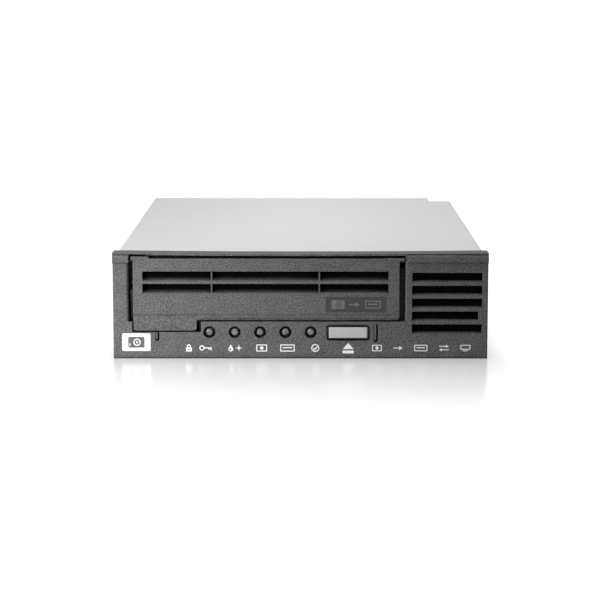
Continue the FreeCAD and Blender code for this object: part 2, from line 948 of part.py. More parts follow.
def pillar_round(x, radius, side):
    """The bit that rounds off the front corner of the face beside the opening."""
    a, b = sorted((x, x + side * radius))
    z_top = bezel_height - bead_height
    corner = block(a, b, y_face - beyond, y_face + radius, opening_bottom, z_top)
    x_axis = x + side * radius
    kept = rod(radius, (x_axis, y_face + radius, opening_bottom - beyond),
               (x_axis, y_face + radius, z_top + beyond))
    return corner.cut(kept)


def brow_body():
    """The thin sagging strip along the top, over the whole width."""
    low = bezel_height - brow_sag - brow_thickness - beyond
    strip = block(-x_bezel, x_bezel, y_face - brow_projection, y_rim, low, bezel_height + beyond)
    relief = block(opening_left, door_left + ear_left_width,
                   y_bead - beyond, y_rim, low, bezel_height + beyond)
    full = strip.common(above_brow(brow_thickness))
    return full.cut(relief.cut(above_brow(brow_thickness - brow_relief)))


def light_walls():
    """The curtain under the brow and the blind beside the door, which keep light out of the gaps round it."""
    y_curtain = y_hinge + curtain_from_hinge
    curtain = block(opening_left - bite, opening_right + bite, y_curtain, y_curtain + curtain_thickness,
                    hinge_height + curtain_above_hinge, bezel_height)
    blind = block(door_right + blind_from_door, opening_right + blind_overlap,
                  y_plate_back - bite, y_plate_back + blind_depth,
                  opening_bottom, hinge_height - blind_below_hinge)
    return [curtain, blind]


def front_bezel():
    """The moulded front panel: face, rim, bead, brow, grille, wells and slots."""
    face = block(-x_bezel, x_bezel, y_face, y_plate_back, 0, bezel_height)
    upright = edges_where(face, lambda p: near(p.y, y_face) and near(abs(p.x), x_bezel))
    lower = edges_where(face, lambda p: near(p.y, y_face) and near(p.z, 0))
    face = face.makeFillet(face_edge_radius, upright + lower)
    rim_outer = block(-x_bezel, x_bezel, y_plate_back - bite, y_rim, 0, bezel_height)
    rim_inner = block(-x_bezel + rim_wall, x_bezel - rim_wall, y_plate_back - beyond, y_rim + beyond,
                      rim_wall, bezel_height - rim_wall - brow_sag)
    rim = rim_outer.cut(rim_inner)
    bead_spans = [(-x_bezel, opening_left + bead_left_overlap), (opening_right + bead_right_gap, x_bezel)]
    beads = [bead_block(x0, x1) for x0, x1 in bead_spans]
    body = joined([face.cut(door_opening()), rim.cut(door_opening())] + beads)
    bosses = [
        hinge_boss(opening_left - boss_length, opening_left),
        hinge_boss(opening_right, opening_right + boss_length),
    ]
    hooks = snap_hooks(-1) + snap_hooks(1)
    posts = [rod(panel_post_radius, (x, y_plate_back - bite, z), (x, y_panel_board, z))
             for x, z in post_places()]
    body = joined([body, brow_body()] + bosses + light_walls() + hooks + posts)
    body = body.cut(above_brow(0.0).cut(below_brow()))
    groove_top = bezel_height - bead_cap
    cuts = [block(x0 - bite, x1 + bite, y_bead - beyond, y_bead + bead_groove_depth,
                  groove_top - bead_groove, groove_top)
            for x0, x1 in bead_spans]
    for x0, x1 in pin_spans():
        cuts.append(rod(hinge_pin_radius + seat_fit, (x0, y_hinge, hinge_height),
                        (x1, y_hinge, hinge_height)))
    for n in range(grille_count):
        x_end = grille_right - (grille_nub_width if n == grille_nub_row else 0.0)
        cuts.append(louvre_cut(grille_left, x_end, grille_top - n * grille_pitch,
                               grille_height, y_plate_back))
    for x in lens_places:
        cuts.append(rod(lens_radius + lens_fit, (x, y_bead, lens_height), (x, y_rim, lens_height)))
        cuts.append(rod(lens_well_radius, (x, y_bead, lens_height),
                        (x, y_face + lens_well_depth, lens_height)))
    cuts.append(rounded_window(button_width / 2 + button_gap, button_height / 2 + button_gap,
                               button_corner_radius, y_bead - beyond, y_plate_back + beyond))
    cuts.append(release_slot(left_slot_x, left_slot_bottom, left_slot_top))
    cuts.append(release_slot(right_slot_x, right_slot_bottom, right_slot_top))
    cuts.append(block(badge_left, badge_left + badge_width, y_bead, y_face + badge_recess,
                      badge_bottom, badge_bottom + badge_height))
    for x, z in post_places():
        cuts.append(rod(screw_core_radius, (x, y_panel_board - panel_screw_depth - screw_end_room, z),
                        (x, y_panel_board + beyond, z)))
    return body.cut(cuts)


def rounded_window(half_width, half_height, radius, y0, y1):
    """A block with rounded corners round the button's centre, along Y."""
    body = block(button_centre_x - half_width, button_centre_x + half_width, y0, y1,
                 button_centre_z - half_height, button_centre_z + half_height)
    corners = [e for e in body.Edges if near(e.Length, y1 - y0)]
    return body.makeFillet(radius, corners)


def post_places():
    """Where the front panel board is screwed to the face."""
    return [(panel_board_left + panel_post_from_left, panel_post_height),
            (panel_board_right - panel_post_from_right, panel_post_height),
            (panel_board_left + panel_post_middle, panel_post_height)]


def pin_spans():
    """Start and end of the two hinge pins."""
    left = (opening_left - pin_in_boss, door_left + knuckle_left_reach + hinge_end_play)
    right = (door_right - knuckle_right_reach - hinge_end_play, opening_right + pin_in_boss)
    return [left, right]


def hinge_pins():
    return group([rod(hinge_pin_radius, (x0, y_hinge, hinge_height), (x1, y_hinge, hinge_height))
                  for x0, x1 in pin_spans()])


def spring_span():
    """The stretch of the left hinge pin that carries the door spring."""
    return door_left + spring_from_door_edge, door_left + spring_from_door_edge + spring_length


def door_spring():
    """A close-wound torsion spring with its fixed leg under the brow."""
    x0, x1 = spring_span()
    coil_radius = hinge_pin_radius + spring_clearance + spring_wire
    pitch = (x1 - x0 - 2 * spring_clearance) / spring_turns
    coils = []
    for n in range(spring_turns):
        x = x0 + spring_clearance + pitch * (n + 0.5)
        centre = vec(x, y_hinge, hinge_height)
        coils.append(Part.makeTorus(coil_radius, pitch * coil_overlap, centre, vec(1, 0, 0)))
    core = ring(coil_radius + spring_wire / 2, coil_radius - spring_wire / 2,
                (x0 + spring_wire, y_hinge, hinge_height), (x1 - spring_wire, y_hinge, hinge_height))
    leg_x = x1 - spring_leg_inset
    leg_y = y_hinge + coil_radius - spring_leg_sink
    leg = rod(spring_wire, (leg_x, leg_y, hinge_height),
              (leg_x, leg_y, bezel_height - brow_sag - brow_thickness - spring_leg_gap))
    return joined([core, leg] + coils)


def front_badge():
    """The pale label plate in its recess at the lower left."""
    plate = block(badge_left + badge_fit, badge_left + badge_width - badge_fit,
                  y_face + badge_recess - badge_thickness, y_face + badge_recess,
                  badge_bottom + badge_fit, badge_bottom + badge_height - badge_fit)
    corners = [e for e in plate.Edges if near(e.Length, badge_thickness)]
    return plate.makeFillet(badge_corner_radius, corners)


# ---------------------------------------------------------------- cartridge door


def cartridge_door():
    """The flap that swings inwards about its top edge."""
    y_back = y_face + door_thickness
    plate = block(door_left, door_right, y_face, y_back, door_bottom, door_top)
    corner = edges_where(plate, lambda p: near(p.x, door_right) and near(p.z, door_bottom))
    plate = plate.makeFillet(door_corner_radius, corner)
    tab = block(door_left, tab_right, y_face, y_back, tab_bottom, tab_line)
    tab_corners = edges_where(tab, lambda p: near(p.z, tab_bottom) and near(p.x, door_left))
    tab = tab.makeFillet(tab_left_radius, tab_corners)
    tab_corners = edges_where(tab, lambda p: near(p.z, tab_bottom) and near(p.x, tab_right))
    tab = tab.makeFillet(door_corner_radius, tab_corners)
    knuckles = []
    for x0, x1 in knuckle_spans():
        knuckles.append(rod(knuckle_radius, (x0, y_hinge, hinge_height), (x1, y_hinge, hinge_height)))
        knuckles.append(block(x0, x1, y_hinge - bite, y_back, hinge_height - knuckle_radius, hinge_height))
    door = joined([plate, tab] + door_ears(y_back) + knuckles)
    cuts = []
    for n in range(vent_count):
        cuts.append(door_vent(vent_top - n * vent_pitch, y_back))
    cuts.append(chamfer_wedge())
    cuts.append(line_wedge())
    cuts.append(block(door_left - beyond, tab_right, y_face - beyond, y_face + tab_setback,
                      tab_bottom - beyond, tab_line))
    cuts.append(block(emblem_left, emblem_left + emblem_width, y_face - beyond, y_face + emblem_depth,
                      emblem_bottom, emblem_bottom + emblem_height))
    x0, x1 = spring_span()
    cuts.append(block(x0 - spring_pocket, x1 + spring_pocket, y_hinge - spring_pocket_depth,
                      y_back + beyond,
                      hinge_height - spring_pocket_drop, bezel_height))
    bore = hinge_pin_radius + hinge_running_clearance
    for a, b in pin_spans():
        cuts.append(rod(bore, (a - hinge_end_play, y_hinge, hinge_height),
                        (b + hinge_end_play, y_hinge, hinge_height)))
    return door.cut(cuts)


def door_ears(y_back):
    """The thin tabs that stand out from the door's upper corners."""
    top = door_top + ear_left_rise
    end = door_left + ear_left_width
    outline = [
        (ear_left, top - ear_left_height),
        (end + ear_left_rise, top - ear_left_height),
        (end + ear_left_rise, door_top),
        (end, top),
        (ear_left, top),
    ]
    points = [vec(x, y_face, z) for x, z in outline]
    left = Part.Face(Part.makePolygon(points + [points[0]])).extrude(vec(0, y_back - y_face, 0))
    top = door_top + ear_right_rise
    right = block(door_right - ear_right_width, ear_right,
                  y_face - ear_right_proud, y_back, top - ear_right_height, top)
    return [left, right]


def knuckle_spans():
    """The stretches of the door's top edge that turn on the pins."""
    x0, x1 = spring_span()
    return [(door_left, x0 - spring_pocket), (x1 + spring_pocket, door_left + knuckle_left_reach),
            (door_right - knuckle_right_reach, door_right)]


def door_vent(top, y_back):
    """One vent slot of the door, with its thin upright ribs left standing."""
    slot = louvre_cut(vent_left, vent_right, top, vent_height, y_back)
    ribs = []
    for x in vent_rib_places:
        ribs.append(block(x - vent_rib / 2, x + vent_rib / 2, y_face + vent_rib_setback,
                          y_back + 2 * beyond,
                          top - vent_height - beyond, top + beyond))
    return slot.cut(ribs)


def chamfer_wedge():
    """The bevel along the lower edge of the door, right of the tab."""
    outline = [
        (y_face - beyond, door_bottom - beyond),
        (y_face + door_chamfer_depth, door_bottom - beyond),
        (y_face + door_chamfer_depth, door_bottom),
        (y_face, door_bottom + door_chamfer_height),
        (y_face - beyond, door_bottom + door_chamfer_height),
    ]
    return prism_x(outline, tab_right, door_right + beyond)


def line_wedge():
    """The line across the door at the height of the tab's top, with its slanting lower side."""
    outline = [
        (y_face - beyond, tab_line),
        (y_face + door_line_depth, tab_line),
        (y_face, tab_line - door_line_height),
        (y_face - beyond, tab_line - door_line_height),
    ]
    return prism_x(outline, tab_right, door_right + beyond)


# ---------------------------------------------------------------- button, indicators, front board


def eject_button():
    """The button cap with the flange that keeps it behind the face."""
    y_front = y_face - button_proud
    y_flange = y_plate_back + button_flange_gap
    cap = block(button_centre_x - button_width / 2, button_centre_x + button_width / 2,
                y_front, y_flange + bite,
                button_centre_z - button_height / 2, button_centre_z + button_height / 2)
    front_edges = edges_where(cap, lambda p: near(p.y, y_front))
    cap = cap.makeFillet(button_edge_radius, front_edges)
    half_w = button_width / 2 + button_gap + button_flange
    half_h = button_height / 2 + button_gap + button_flange
    flange = block(button_centre_x - half_w, button_centre_x + half_w, y_flange,
                   y_flange + button_flange_thickness,
                   button_centre_z - half_h, button_centre_z + half_h)
    return joined([cap, flange])


def eject_switch():
    """The switch body on the front board, open at the front for its plunger."""
    y_body = y_plunger + button_travel + switch_gap
    half = switch_size / 2
    body = block(button_centre_x - half, button_centre_x + half, y_body, y_panel_board,
                 button_centre_z - half, button_centre_z + half)
    well = rod(plunger_radius + plunger_fit, (button_centre_x, y_body - beyond, button_centre_z),
               (button_centre_x, y_panel_board - switch_floor, button_centre_z))
    return body.cut(well)


def switch_plunger():
    y_end = y_panel_board - switch_floor - button_travel - plunger_play
    return rod(plunger_radius, (button_centre_x, y_plunger, button_centre_z),
               (button_centre_x, y_end, button_centre_z))


def indicator_lens(x):
    """A light pipe with a rounded tip and a collar that seats behind the face."""
    tip = rod(lens_radius, (x, y_face + lens_inset, lens_height),
              (x, y_panel_board - led_thickness - led_gap, lens_height))
    front = [e for e in tip.Edges if near(e.CenterOfMass.y, y_face + lens_inset)]
    tip = tip.makeFillet(lens_dome, front)
    collar = rod(lens_collar_radius, (x, y_plate_back, lens_height),
                 (x, y_plate_back + lens_collar, lens_height))
    return tip.fuse(collar).removeSplitter()


def indicator_leds():
    leds = []
    for x in lens_places:
        leds.append(block(x - led_size / 2, x + led_size / 2, y_panel_board - led_thickness,
                          y_panel_board, lens_height - led_size / 2, lens_height + led_size / 2))
    return group(leds)


def front_board():
    board = block(panel_board_left, panel_board_right, y_panel_board, y_panel_board + panel_board,
                  panel_board_bottom, panel_board_top)
    holes = [rod(screw_core_radius + screw_hole_clearance, (x, y_panel_board - beyond, z),
                 (x, y_panel_board + panel_board + beyond, z)) for x, z in post_places()]
    return board.cut(holes)


def front_board_screws():
    """The screws that hold the front board to the face's posts."""
    screws = []
    y_back = y_panel_board + panel_board
    for x, z in post_places():
        head = rod(screw_head_radius, (x, y_back, z), (x, y_back + screw_head_height, z))
        core = rod(screw_core_radius - screw_core_fit, (x, y_panel_board - panel_screw_depth, z),
                   (x, y_back, z))
        screws.append(head.fuse(core).removeSplitter())
    return screws


def panel_ribbon():
    """The flat cable that runs under the deck from the front board to the main board."""
    x0 = panel_board_right - ribbon_from_right
    x1 = x0 + ribbon_width
    z_low = board_underside - ribbon_thickness
    y_start = y_panel_board + panel_board
    y_end = y_start + ribbon_plug_depth
    run = block(x0, x1, y_start, board_front + ribbon_overlap, z_low, board_underside)
    plug = block(x0 - ribbon_plug_rim, x1 + ribbon_plug_rim, y_start, y_end,
                 panel_board_bottom + ribbon_plug_gap, z_low)
    rise = block(x0 - ribbon_plug_rim, x1 + ribbon_plug_rim, y_start, y_end,
                 board_underside, board_underside + ribbon_plug_height)
    return joined([run, plug, rise])


# ---------------------------------------------------------------- chassis


def side_holes():
    """M3 holes of both sides and of the underside."""
    cuts = []
    for y in hole_rows_y:
        for side in (-1, 1):
            for up, depth in ((side_hole_low, side_hole_depth), (side_hole_high, side_wall + beyond)):
                z = z_floor + up
                cuts.append(rod(mount_hole_radius, (side * (x_side + beyond), y, z),
                                (side * (x_side - depth), y, z)))
            x = side * hole_pitch_x / 2
            cuts.append(rod(mount_hole_radius, (x, y, z_floor - beyond),
                            (x, y, z_floor + bottom_hole_depth)))
    return cuts


def cover_screw_places():
    """Y and Z of the countersunk screws that hold the lid's flanges."""
    z = z_flange + cover_screw_above_flange
    return [(y_rim + cover_screw_front, z), (0, z), (y_notch - cover_screw_rear, z)]


def board_screw_places():
    x_left = board_left + board_screw_inset
    x_right = board_right - board_screw_inset
    y_front = board_front + board_screw_inset
    return [
        (x_left, y_front),
        (x_right, y_front),
        (x_left, board_rear - board_screw_rear_left),
        (x_right, board_rear - board_screw_rear_right),
        (board_left + board_screw_middle_x, board_front + board_screw_middle_y),
    ]


def bottom_screw_places():
    x = x_side - cover_boss_inset
    y_front = y_rim + cover_boss_front
    y_middle = board_front - cover_boss_from_board
    return [(-x, y_front), (x, y_front), (x, y_middle), (-x, y_middle), (x, deck_rear - cover_boss_rear)]


def base_deck():
    """The cast chassis: deck plate, side walls with rails, bosses and shoulders."""
    z_root = z_deck - bite
    parts = [block(-x_wall - bite, x_wall + bite, deck_front, deck_rear, deck_underside, z_deck)]
    for side, y_end in ((-1, y_rear_sheet), (1, y_notch)):
        lower = sorted((side * x_wall, side * x_side))
        parts.append(block(lower[0], lower[1], y_rim, y_end, z_floor, z_flange))
        upper = sorted((side * x_wall, side * (x_side - cover_sheet)))
        parts.append(block(upper[0], upper[1], y_rim, y_end, z_flange, z_lid_under))
        foot = sorted((side * (x_side - rail_width), side * x_side))
        parts.append(block(foot[0], foot[1], y_rim, y_end, z_floor, z_deck))
        if side < 0:
            ledge = block(-x_side, guide_left, y_rim, y_end, z_root, rail_top)
        else:
            ledge = block(x_side - rail_width, x_side, y_rim, y_end, z_root, rail_top)
        parts.append(ledge)
    for x, y in board_screw_places():
        parts.append(rod(standoff_radius, (x, y, z_board), (x, y, z_root)))
    for x, y in bottom_screw_places():
        parts.append(rod(cover_boss_radius, (x, y, z_cover), (x, y, z_root)))
    for x, y in roller_places():
        parts.append(rod(roller_boss_radius, (x, y, z_root), (x, y, roller_low - roller_flange)))
    parts.append(rod(arm_shaft_radius, (arm_pivot_x, arm_pivot_y, z_root),
                     (arm_pivot_x, arm_pivot_y, arm_height + arm_plate + arm_shaft_end)))
    parts.append(rod(arm_hub_radius, (arm_pivot_x, arm_pivot_y, z_root),
                     (arm_pivot_x, arm_pivot_y, arm_height + arm_plate - arm_hub_height - arm_seat_gap)))
    parts.append(rod(bearing_radius + bearing_housing,
                     (bay_centre_x, supply_centre_y, deck_underside - bearing_drop),
                     (bay_centre_x, supply_centre_y, z_deck)))
    body = joined(parts)
    cuts = side_holes()
    cuts.append(rod(bearing_radius, (bay_centre_x, supply_centre_y, 0),
                    (bay_centre_x, supply_centre_y, z_lid)))
    for x, y in board_screw_places():
        cuts.append(rod(screw_core_radius, (x, y, z_floor),
                        (x, y, z_deck - board_screw_cap + screw_end_room)))
    for x, y in bottom_screw_places():
        cuts.append(rod(screw_core_radius, (x, y, z_floor), (x, y, deck_underside)))
    for x, y in roller_places():
        cuts.append(rod(roller_post_radius, (x, y, z_deck + roller_post_depth), (x, y, z_lid)))
    for y, z in cover_screw_places():
        for side in (-1, 1):
            cuts.append(rod(screw_core_radius, (side * (x_side + beyond), y, z),
                            (side * (x_wall - beyond), y, z)))
    for dy in (-sled_rod_offset, sled_rod_offset):
        cuts.append(rod(sled_rod_radius, (head_axis_x, arm_pivot_y + dy, z_deck - sled_rod_depth),
                        (head_axis_x, arm_pivot_y + dy, z_lid)))
    return body.cut(cuts + hook_windows(-1) + hook_windows(1))


def top_cover():
    """The folded lid with side flanges and the cut rear corner."""
    outline = [
        (-x_side, y_rim),
        (x_side, y_rim),
        (x_side, y_notch),
        (x_notch, y_notch),
        (x_notch, y_rear),
        (-x_side, y_rear),
    ]
    sheet = prism_z(outline, z_lid_under, z_lid)
    flanges = []
    for side, y_end in ((-1, y_rear), (1, y_notch)):
        a, b = sorted((side * (x_side - cover_sheet), side * x_side))
        flanges.append(block(a, b, y_rim, y_end, z_flange, z_lid))
    lid = joined([sheet] + flanges)
    bends = edges_where(lid, lambda p: near(p.z, z_lid) and near(abs(p.x), x_side))
    lid = lid.makeFillet(cover_edge_radius, bends)
    cuts = []
    for y, z in cover_screw_places():
        for side in (-1, 1):
            cuts.append(countersink((side * x_side, y, z), (side, 0, 0), cover_sheet, countersink_gap))
    return lid.cut(cuts)


def cover_screws():
    """Countersunk screws, flush with the lid's flanges, and the low heads under the drive."""
    screws = []
    for y, z in cover_screw_places():
        for side in (-1, 1):
            screws.append(flush_screw((side * x_side, y, z), (side, 0, 0), cover_sheet,
                                      side_wall - cover_sheet))
    for x, y in bottom_screw_places():
        z_seat = z_floor + cover_sheet / 2
        head = rod(screw_head_radius, (x, y, z_floor + head_sink), (x, y, z_seat))
        core = rod(screw_core_radius - screw_core_fit, (x, y, z_seat),
                   (x, y, deck_underside - screw_end_gap))
        socket = rod(screw_socket_radius, (x, y, z_floor - beyond), (x, y, z_seat - socket_floor))
        screws.append(head.fuse(core).cut(socket).removeSplitter())
    return group(screws)


def bottom_cover():
    """The flat lower cover between the rails, with vent slots."""
    x_edge = x_side - rail_width - cover_gap
    z_low = z_floor - beyond
    z_high = z_cover + beyond
    sheet = block(-x_edge, x_edge, y_rim + cover_front_gap, y_rear_sheet - cover_gap, z_floor, z_cover)
    corner = block(x_notch - rear_sheet - cover_gap, x_edge + beyond, y_notch - cover_gap, y_rear, z_low,
                   z_high)
    cuts = [corner]
    for x, y in bottom_screw_places():
        cuts.append(rod(screw_core_radius + screw_hole_clearance, (x, y, z_low), (x, y, z_high)))
        cuts.append(rod(screw_head_radius + head_clearance, (x, y, z_low),
                        (x, y, z_floor + cover_sheet / 2)))
    for row in range(vent_slot_rows):
        for n in range(vent_slot_columns):
            x = board_left + vent_slot_from_left + n * vent_slot_pitch_x
            y = board_front + vent_slot_from_front + row * vent_slot_pitch_y
            cuts.append(block(x, x + vent_slot_width, y, y + vent_slot_length, z_low, z_high))
    return sheet.cut(cuts)


def rear_panel():
    """The bent rear sheet with the fan grille and connector windows."""
    z0 = z_floor
    z1 = z_lid_under
    main = block(-x_side + cover_sheet, x_notch, y_rear_sheet, y_rear, z0, z1)
    jog = block(x_notch - rear_sheet, x_notch, y_notch, y_rear, z0, z1)
    corner = block(x_notch - rear_sheet, x_side - cover_sheet, y_notch, y_notch + rear_sheet, z0, z1)
    panel = joined([main, jog, corner])
    y0 = y_rear_sheet - beyond
    y1 = y_rear + beyond
    cuts = []
    for centre, width, low, height in ((sas_centre_x, sas_width, sas_low, sas_height),
                                       (port_centre_x, port_width, z_board, port_height)):
        half = width / 2 + connector_gap
        cuts.append(block(centre - half, centre + half, y0, y1, low - connector_gap,
                          low + height + connector_gap))
    cuts += fan_grille(y0, y1)
    for x, z in fan_screw_places():
        cuts.append(countersink((x, y_rear, z), (0, 1, 0), rear_sheet, countersink_gap))
    for row in range(rear_hole_rows):
        z = z_floor + rear_hole_height + row * rear_hole_pitch
        shift = rear_hole_pitch / 2 if row % 2 else 0.0
        for n in range(rear_hole_columns):
            x = -x_wall + rear_hole_from_wall + shift + n * rear_hole_pitch
            cuts.append(rod(rear_hole_radius, (x, y0, z), (x, y1, z)))
    return panel.cut(cuts)


def fan_grille(y0, y1):
    """Two rings of arched slots in front of the fan, with four webs."""
    cuts = []
    half = fan_size / 2
    web = grille_web / 2
    y_low = y0 - 2 * beyond
    y_high = y1 + 2 * beyond
    webs = [
        block(fan_centre_x - half, fan_centre_x + half, y_low, y_high, fan_centre_z - web,
              fan_centre_z + web),
        block(fan_centre_x - web, fan_centre_x + web, y_low, y_high, fan_centre_z - half,
              fan_centre_z + half),
    ]
    for outer, inner in grille_rings:
        band = ring(outer, inner, (fan_centre_x, y0, fan_centre_z), (fan_centre_x, y1, fan_centre_z))
        cuts += band.cut(webs).Solids
    return cuts


def fan_screw_places():
    half = fan_hole_pitch / 2
    return [(fan_centre_x + i * half, fan_centre_z + j * half) for i in (-1, 1) for j in (-1, 1)]


# ---------------------------------------------------------------- loading mechanism


def cartridge_tray():
    """The folded tray that the cartridge rides on, open at the front and rear."""
    floor = block(tray_left, tray_right, tray_front, tray_rear, tray_floor_top - tray_floor, tray_floor_top)
    walls = [
        block(tray_left, tray_inner_left, tray_front, tray_rear, tray_floor_top - tray_floor,
              tray_wall_top),
        block(tray_inner_right, tray_right, tray_front, tray_rear, tray_floor_top - tray_floor,
              tray_wall_top),
    ]
    tray = joined([floor] + walls)
    cuts = [rod(supply_bore_radius, (bay_centre_x, supply_centre_y, 0),
                (bay_centre_x, supply_centre_y, z_lid))]
    y_window = tray_front + tray_window_from_front
    for side in (-1, 1):
        x = bay_centre_x + side * tray_window_from_middle
        cuts.append(block(x - tray_window_width / 2, x + tray_window_width / 2,
                          y_window, y_window + tray_window_length, 0, tray_floor_top + beyond))
    for y in (front_pin_y, rear_pin_y):
        for x0, x1 in ((tray_left, tray_inner_left), (tray_inner_right, tray_right)):
            cuts.append(rod(tray_pin_shank, (x0 - beyond, y, tray_pin_height),
                            (x1 + beyond, y, tray_pin_height)))
    return tray.cut(cuts)


def tray_pins():
    """Four stepped pins riveted into the tray's walls."""
    pins = []
    for y in (front_pin_y, rear_pin_y):
        z = tray_pin_height
        for wall, out, inner in ((tray_left, tray_pin_out_left, tray_inner_left),
                                 (tray_right, tray_pin_out_right, tray_inner_right)):
            outer = rod(tray_pin_radius, (wall, y, z), (out, y, z))
            shank = rod(tray_pin_shank - seat_fit, (wall, y, z), (inner, y, z))
            pins.append(outer.fuse(shank).removeSplitter())
    return group(pins)


def loader_guide(side):
    """An upright guide plate with a vertical slot for each tray pin."""
    if side < 0:
        x0, x1, z_foot = guide_left - guide_plate, guide_left, rail_top
    else:
        x0, x1, z_foot = guide_right, guide_right + guide_plate, z_deck
    y0 = front_pin_y - guide_front_reach
    y1 = rear_pin_y + guide_rear_reach
    solids = [block(x0, x1, y0, y1, z_foot, tray_wall_top)]
    if side > 0:
        solids.append(block(x0, x1 + guide_foot, y0, y1, z_foot, z_foot + guide_foot_sheet))
    guide = joined(solids)
    cuts = [slot_x(x0 - beyond, x1 + beyond, (y, tray_pin_height - tray_drop), (y, tray_pin_height),
                   pin_slot_radius)
            for y in (front_pin_y, rear_pin_y)]
    return guide.cut(cuts)


def cam_slider(side):
    """A sliding plate whose slanted slots lower and lift the tray."""
    x0, x1 = (cam_left - cam_plate, cam_left) if side < 0 else (cam_right, cam_right + cam_plate)
    plate = block(x0, x1, cam_front, cam_tail, cam_bottom, cam_top)
    tail = block(x0, x1, cam_tail - bite, cam_rear, cam_bottom, cam_tail_top)
    solids = [plate, tail]
    if side > 0:
        solids.append(block(x1 - bite, loader_axis_x + nut_reach, nut_front, nut_front + nut_length,
                            cam_bottom, cam_top))
    slider = joined(solids)
    cuts = [slot_x(x0 - beyond, x1 + beyond, (y, tray_pin_height),
                   (y - cam_travel, tray_pin_height - tray_drop), pin_slot_radius)
            for y in (front_pin_y, rear_pin_y)]
    if side > 0:
        cuts.append(rod(loader_screw_radius + nut_clearance,
                        (loader_axis_x, nut_front - beyond, loader_axis_z),
                        (loader_axis_x, nut_front + nut_length + beyond, loader_axis_z)))
    return slider.cut(cuts)


def cam_tie_bar():
    """The cross bar that makes both sliders move as one."""
    y1 = cam_rear
    y0 = y1 - tie_bar_width
    z0 = z_deck + deck_clearance
    left_tab = guide_left + plate_clearance
    tab_top = cam_tail_top - tie_tab_drop
    bar = block(left_tab, cam_right, y0, y1, z0, z0 + tie_bar_height)
    rise_left = block(left_tab, left_tab + tie_bar_height, y0, y1, z0, tab_top)
    shelf_left = block(cam_left, left_tab + bite, y0, y1, tab_top - tie_bar_height, tab_top)
    rise_right = block(cam_right - tie_bar_height, cam_right, y0, y1, z0, tab_top)
    return joined([bar, rise_left, shelf_left, rise_right])


def loader_motor():
    """A small can motor with flat sides and a boss for its shaft."""
    axis = (loader_axis_x, loader_motor_front, loader_axis_z)
    end = (loader_axis_x, loader_motor_rear, loader_axis_z)
    can = rod(loader_motor_radius, axis, end)
    flats = block(loader_axis_x - loader_motor_radius - beyond,
                  loader_axis_x + loader_motor_radius + beyond,
                  loader_motor_front - beyond, loader_motor_rear + beyond,
                  loader_axis_z - loader_motor_flat, loader_axis_z + loader_motor_flat)
    bore = rod(loader_screw_radius + running_fit,
               (loader_axis_x, loader_motor_rear - screw_in_motor - bite, loader_axis_z),
               (loader_axis_x, loader_motor_rear + beyond, loader_axis_z))
    return can.common(flats).cut(bore)


def loader_bracket():
    """The folded bracket that carries the motor and the far end of its screw."""
    low = loader_axis_z - loader_motor_flat
    x0 = loader_axis_x - bracket_reach
    x1 = loader_axis_x + loader_motor_radius
    base = block(x0, x1, loader_motor_front, screw_rear, z_deck, z_deck + bracket_sheet)
    cradle = block(x0, x1, loader_motor_front, loader_motor_rear, z_deck, low)
    far = block(x0, x1, screw_rear - bracket_end, screw_rear, z_deck, loader_axis_z + bracket_reach)
    bore = rod(loader_screw_radius + running_fit,
               (loader_axis_x, screw_rear - bracket_end - beyond, loader_axis_z),
               (loader_axis_x, screw_rear + beyond, loader_axis_z))
    return joined([base, cradle, far]).cut(bore)


def loader_screw():
    return rod(loader_screw_radius, (loader_axis_x, loader_motor_rear - screw_in_motor, loader_axis_z),
               (loader_axis_x, screw_rear, loader_axis_z))


# ---------------------------------------------------------------- reels


def supply_chuck():
    """The toothed disc that drives the cartridge's reel, on its shaft."""
    cx, cy = bay_centre_x, supply_centre_y
    z0 = z_deck + deck_clearance
    disc = rod(chuck_radius, (cx, cy, z0), (cx, cy, z0 + chuck_plate))
    teeth = []
    for n in range(chuck_teeth):
        turn = 2 * math.pi * n / chuck_teeth
        x = cx + chuck_tooth_ring * math.cos(turn)
        y = cy + chuck_tooth_ring * math.sin(turn)
        z_root = z0 + chuck_plate - bite
        teeth.append(Part.makeCone(chuck_tooth_root, chuck_tooth_tip, chuck_tooth_height + bite,
                                   vec(x, y, z_root), vec(0, 0, 1)))
    boss = rod(chuck_boss_radius, (cx, cy, z0), (cx, cy, z0 + chuck_plate + chuck_boss))
    shaft = rod(supply_shaft_radius, (cx, cy, supply_magnet_low), (cx, cy, z0 + bite))
    return joined([disc, boss, shaft] + teeth)


def supply_rotor():
    """The magnet cup of the supply motor, under the deck."""
    cx, cy = bay_centre_x, supply_centre_y
    return ring(motor_radius - supply_magnet_inset, supply_shaft_radius, (cx, cy, supply_magnet_low),
                (cx, cy, supply_magnet_low + supply_magnet))


def supply_motor():
    """The flat stator below the supply rotor, with its coils, bolted to the deck's underside."""
    cx, cy = bay_centre_x, supply_centre_y
    z0 = z_cover + supply_plate_gap
    z1 = z0 + motor_plate
    plate = rod(motor_radius + supply_plate_rim, (cx, cy, z0), (cx, cy, z1))
    coils = coil_ring(cx, cy, supply_coil_circle, supply_coil_radius, z1, supply_magnet_low - magnet_gap)
    legs = []
    for n in range(supply_legs):
        turn = 2 * math.pi * n / supply_legs + math.pi / 2
        x = cx + (motor_radius + supply_plate_rim - supply_leg_inset) * math.cos(turn)
        y = cy + (motor_radius + supply_plate_rim - supply_leg_inset) * math.sin(turn)
        legs.append(rod(supply_leg_radius, (x, y, z1 - bite), (x, y, deck_underside)))
    return joined([plate] + coils + legs)


def coil_ring(cx, cy, circle, radius, z0, z1):
    """The coils of a flat motor, evenly round its axis."""
    coils = []
    for n in range(coil_count):
        turn = 2 * math.pi * n / coil_count
        x = cx + circle * math.cos(turn)
        y = cy + circle * math.sin(turn)
        coils.append(ring(radius, coil_bore, (x, y, z0), (x, y, z1)))
    return coils


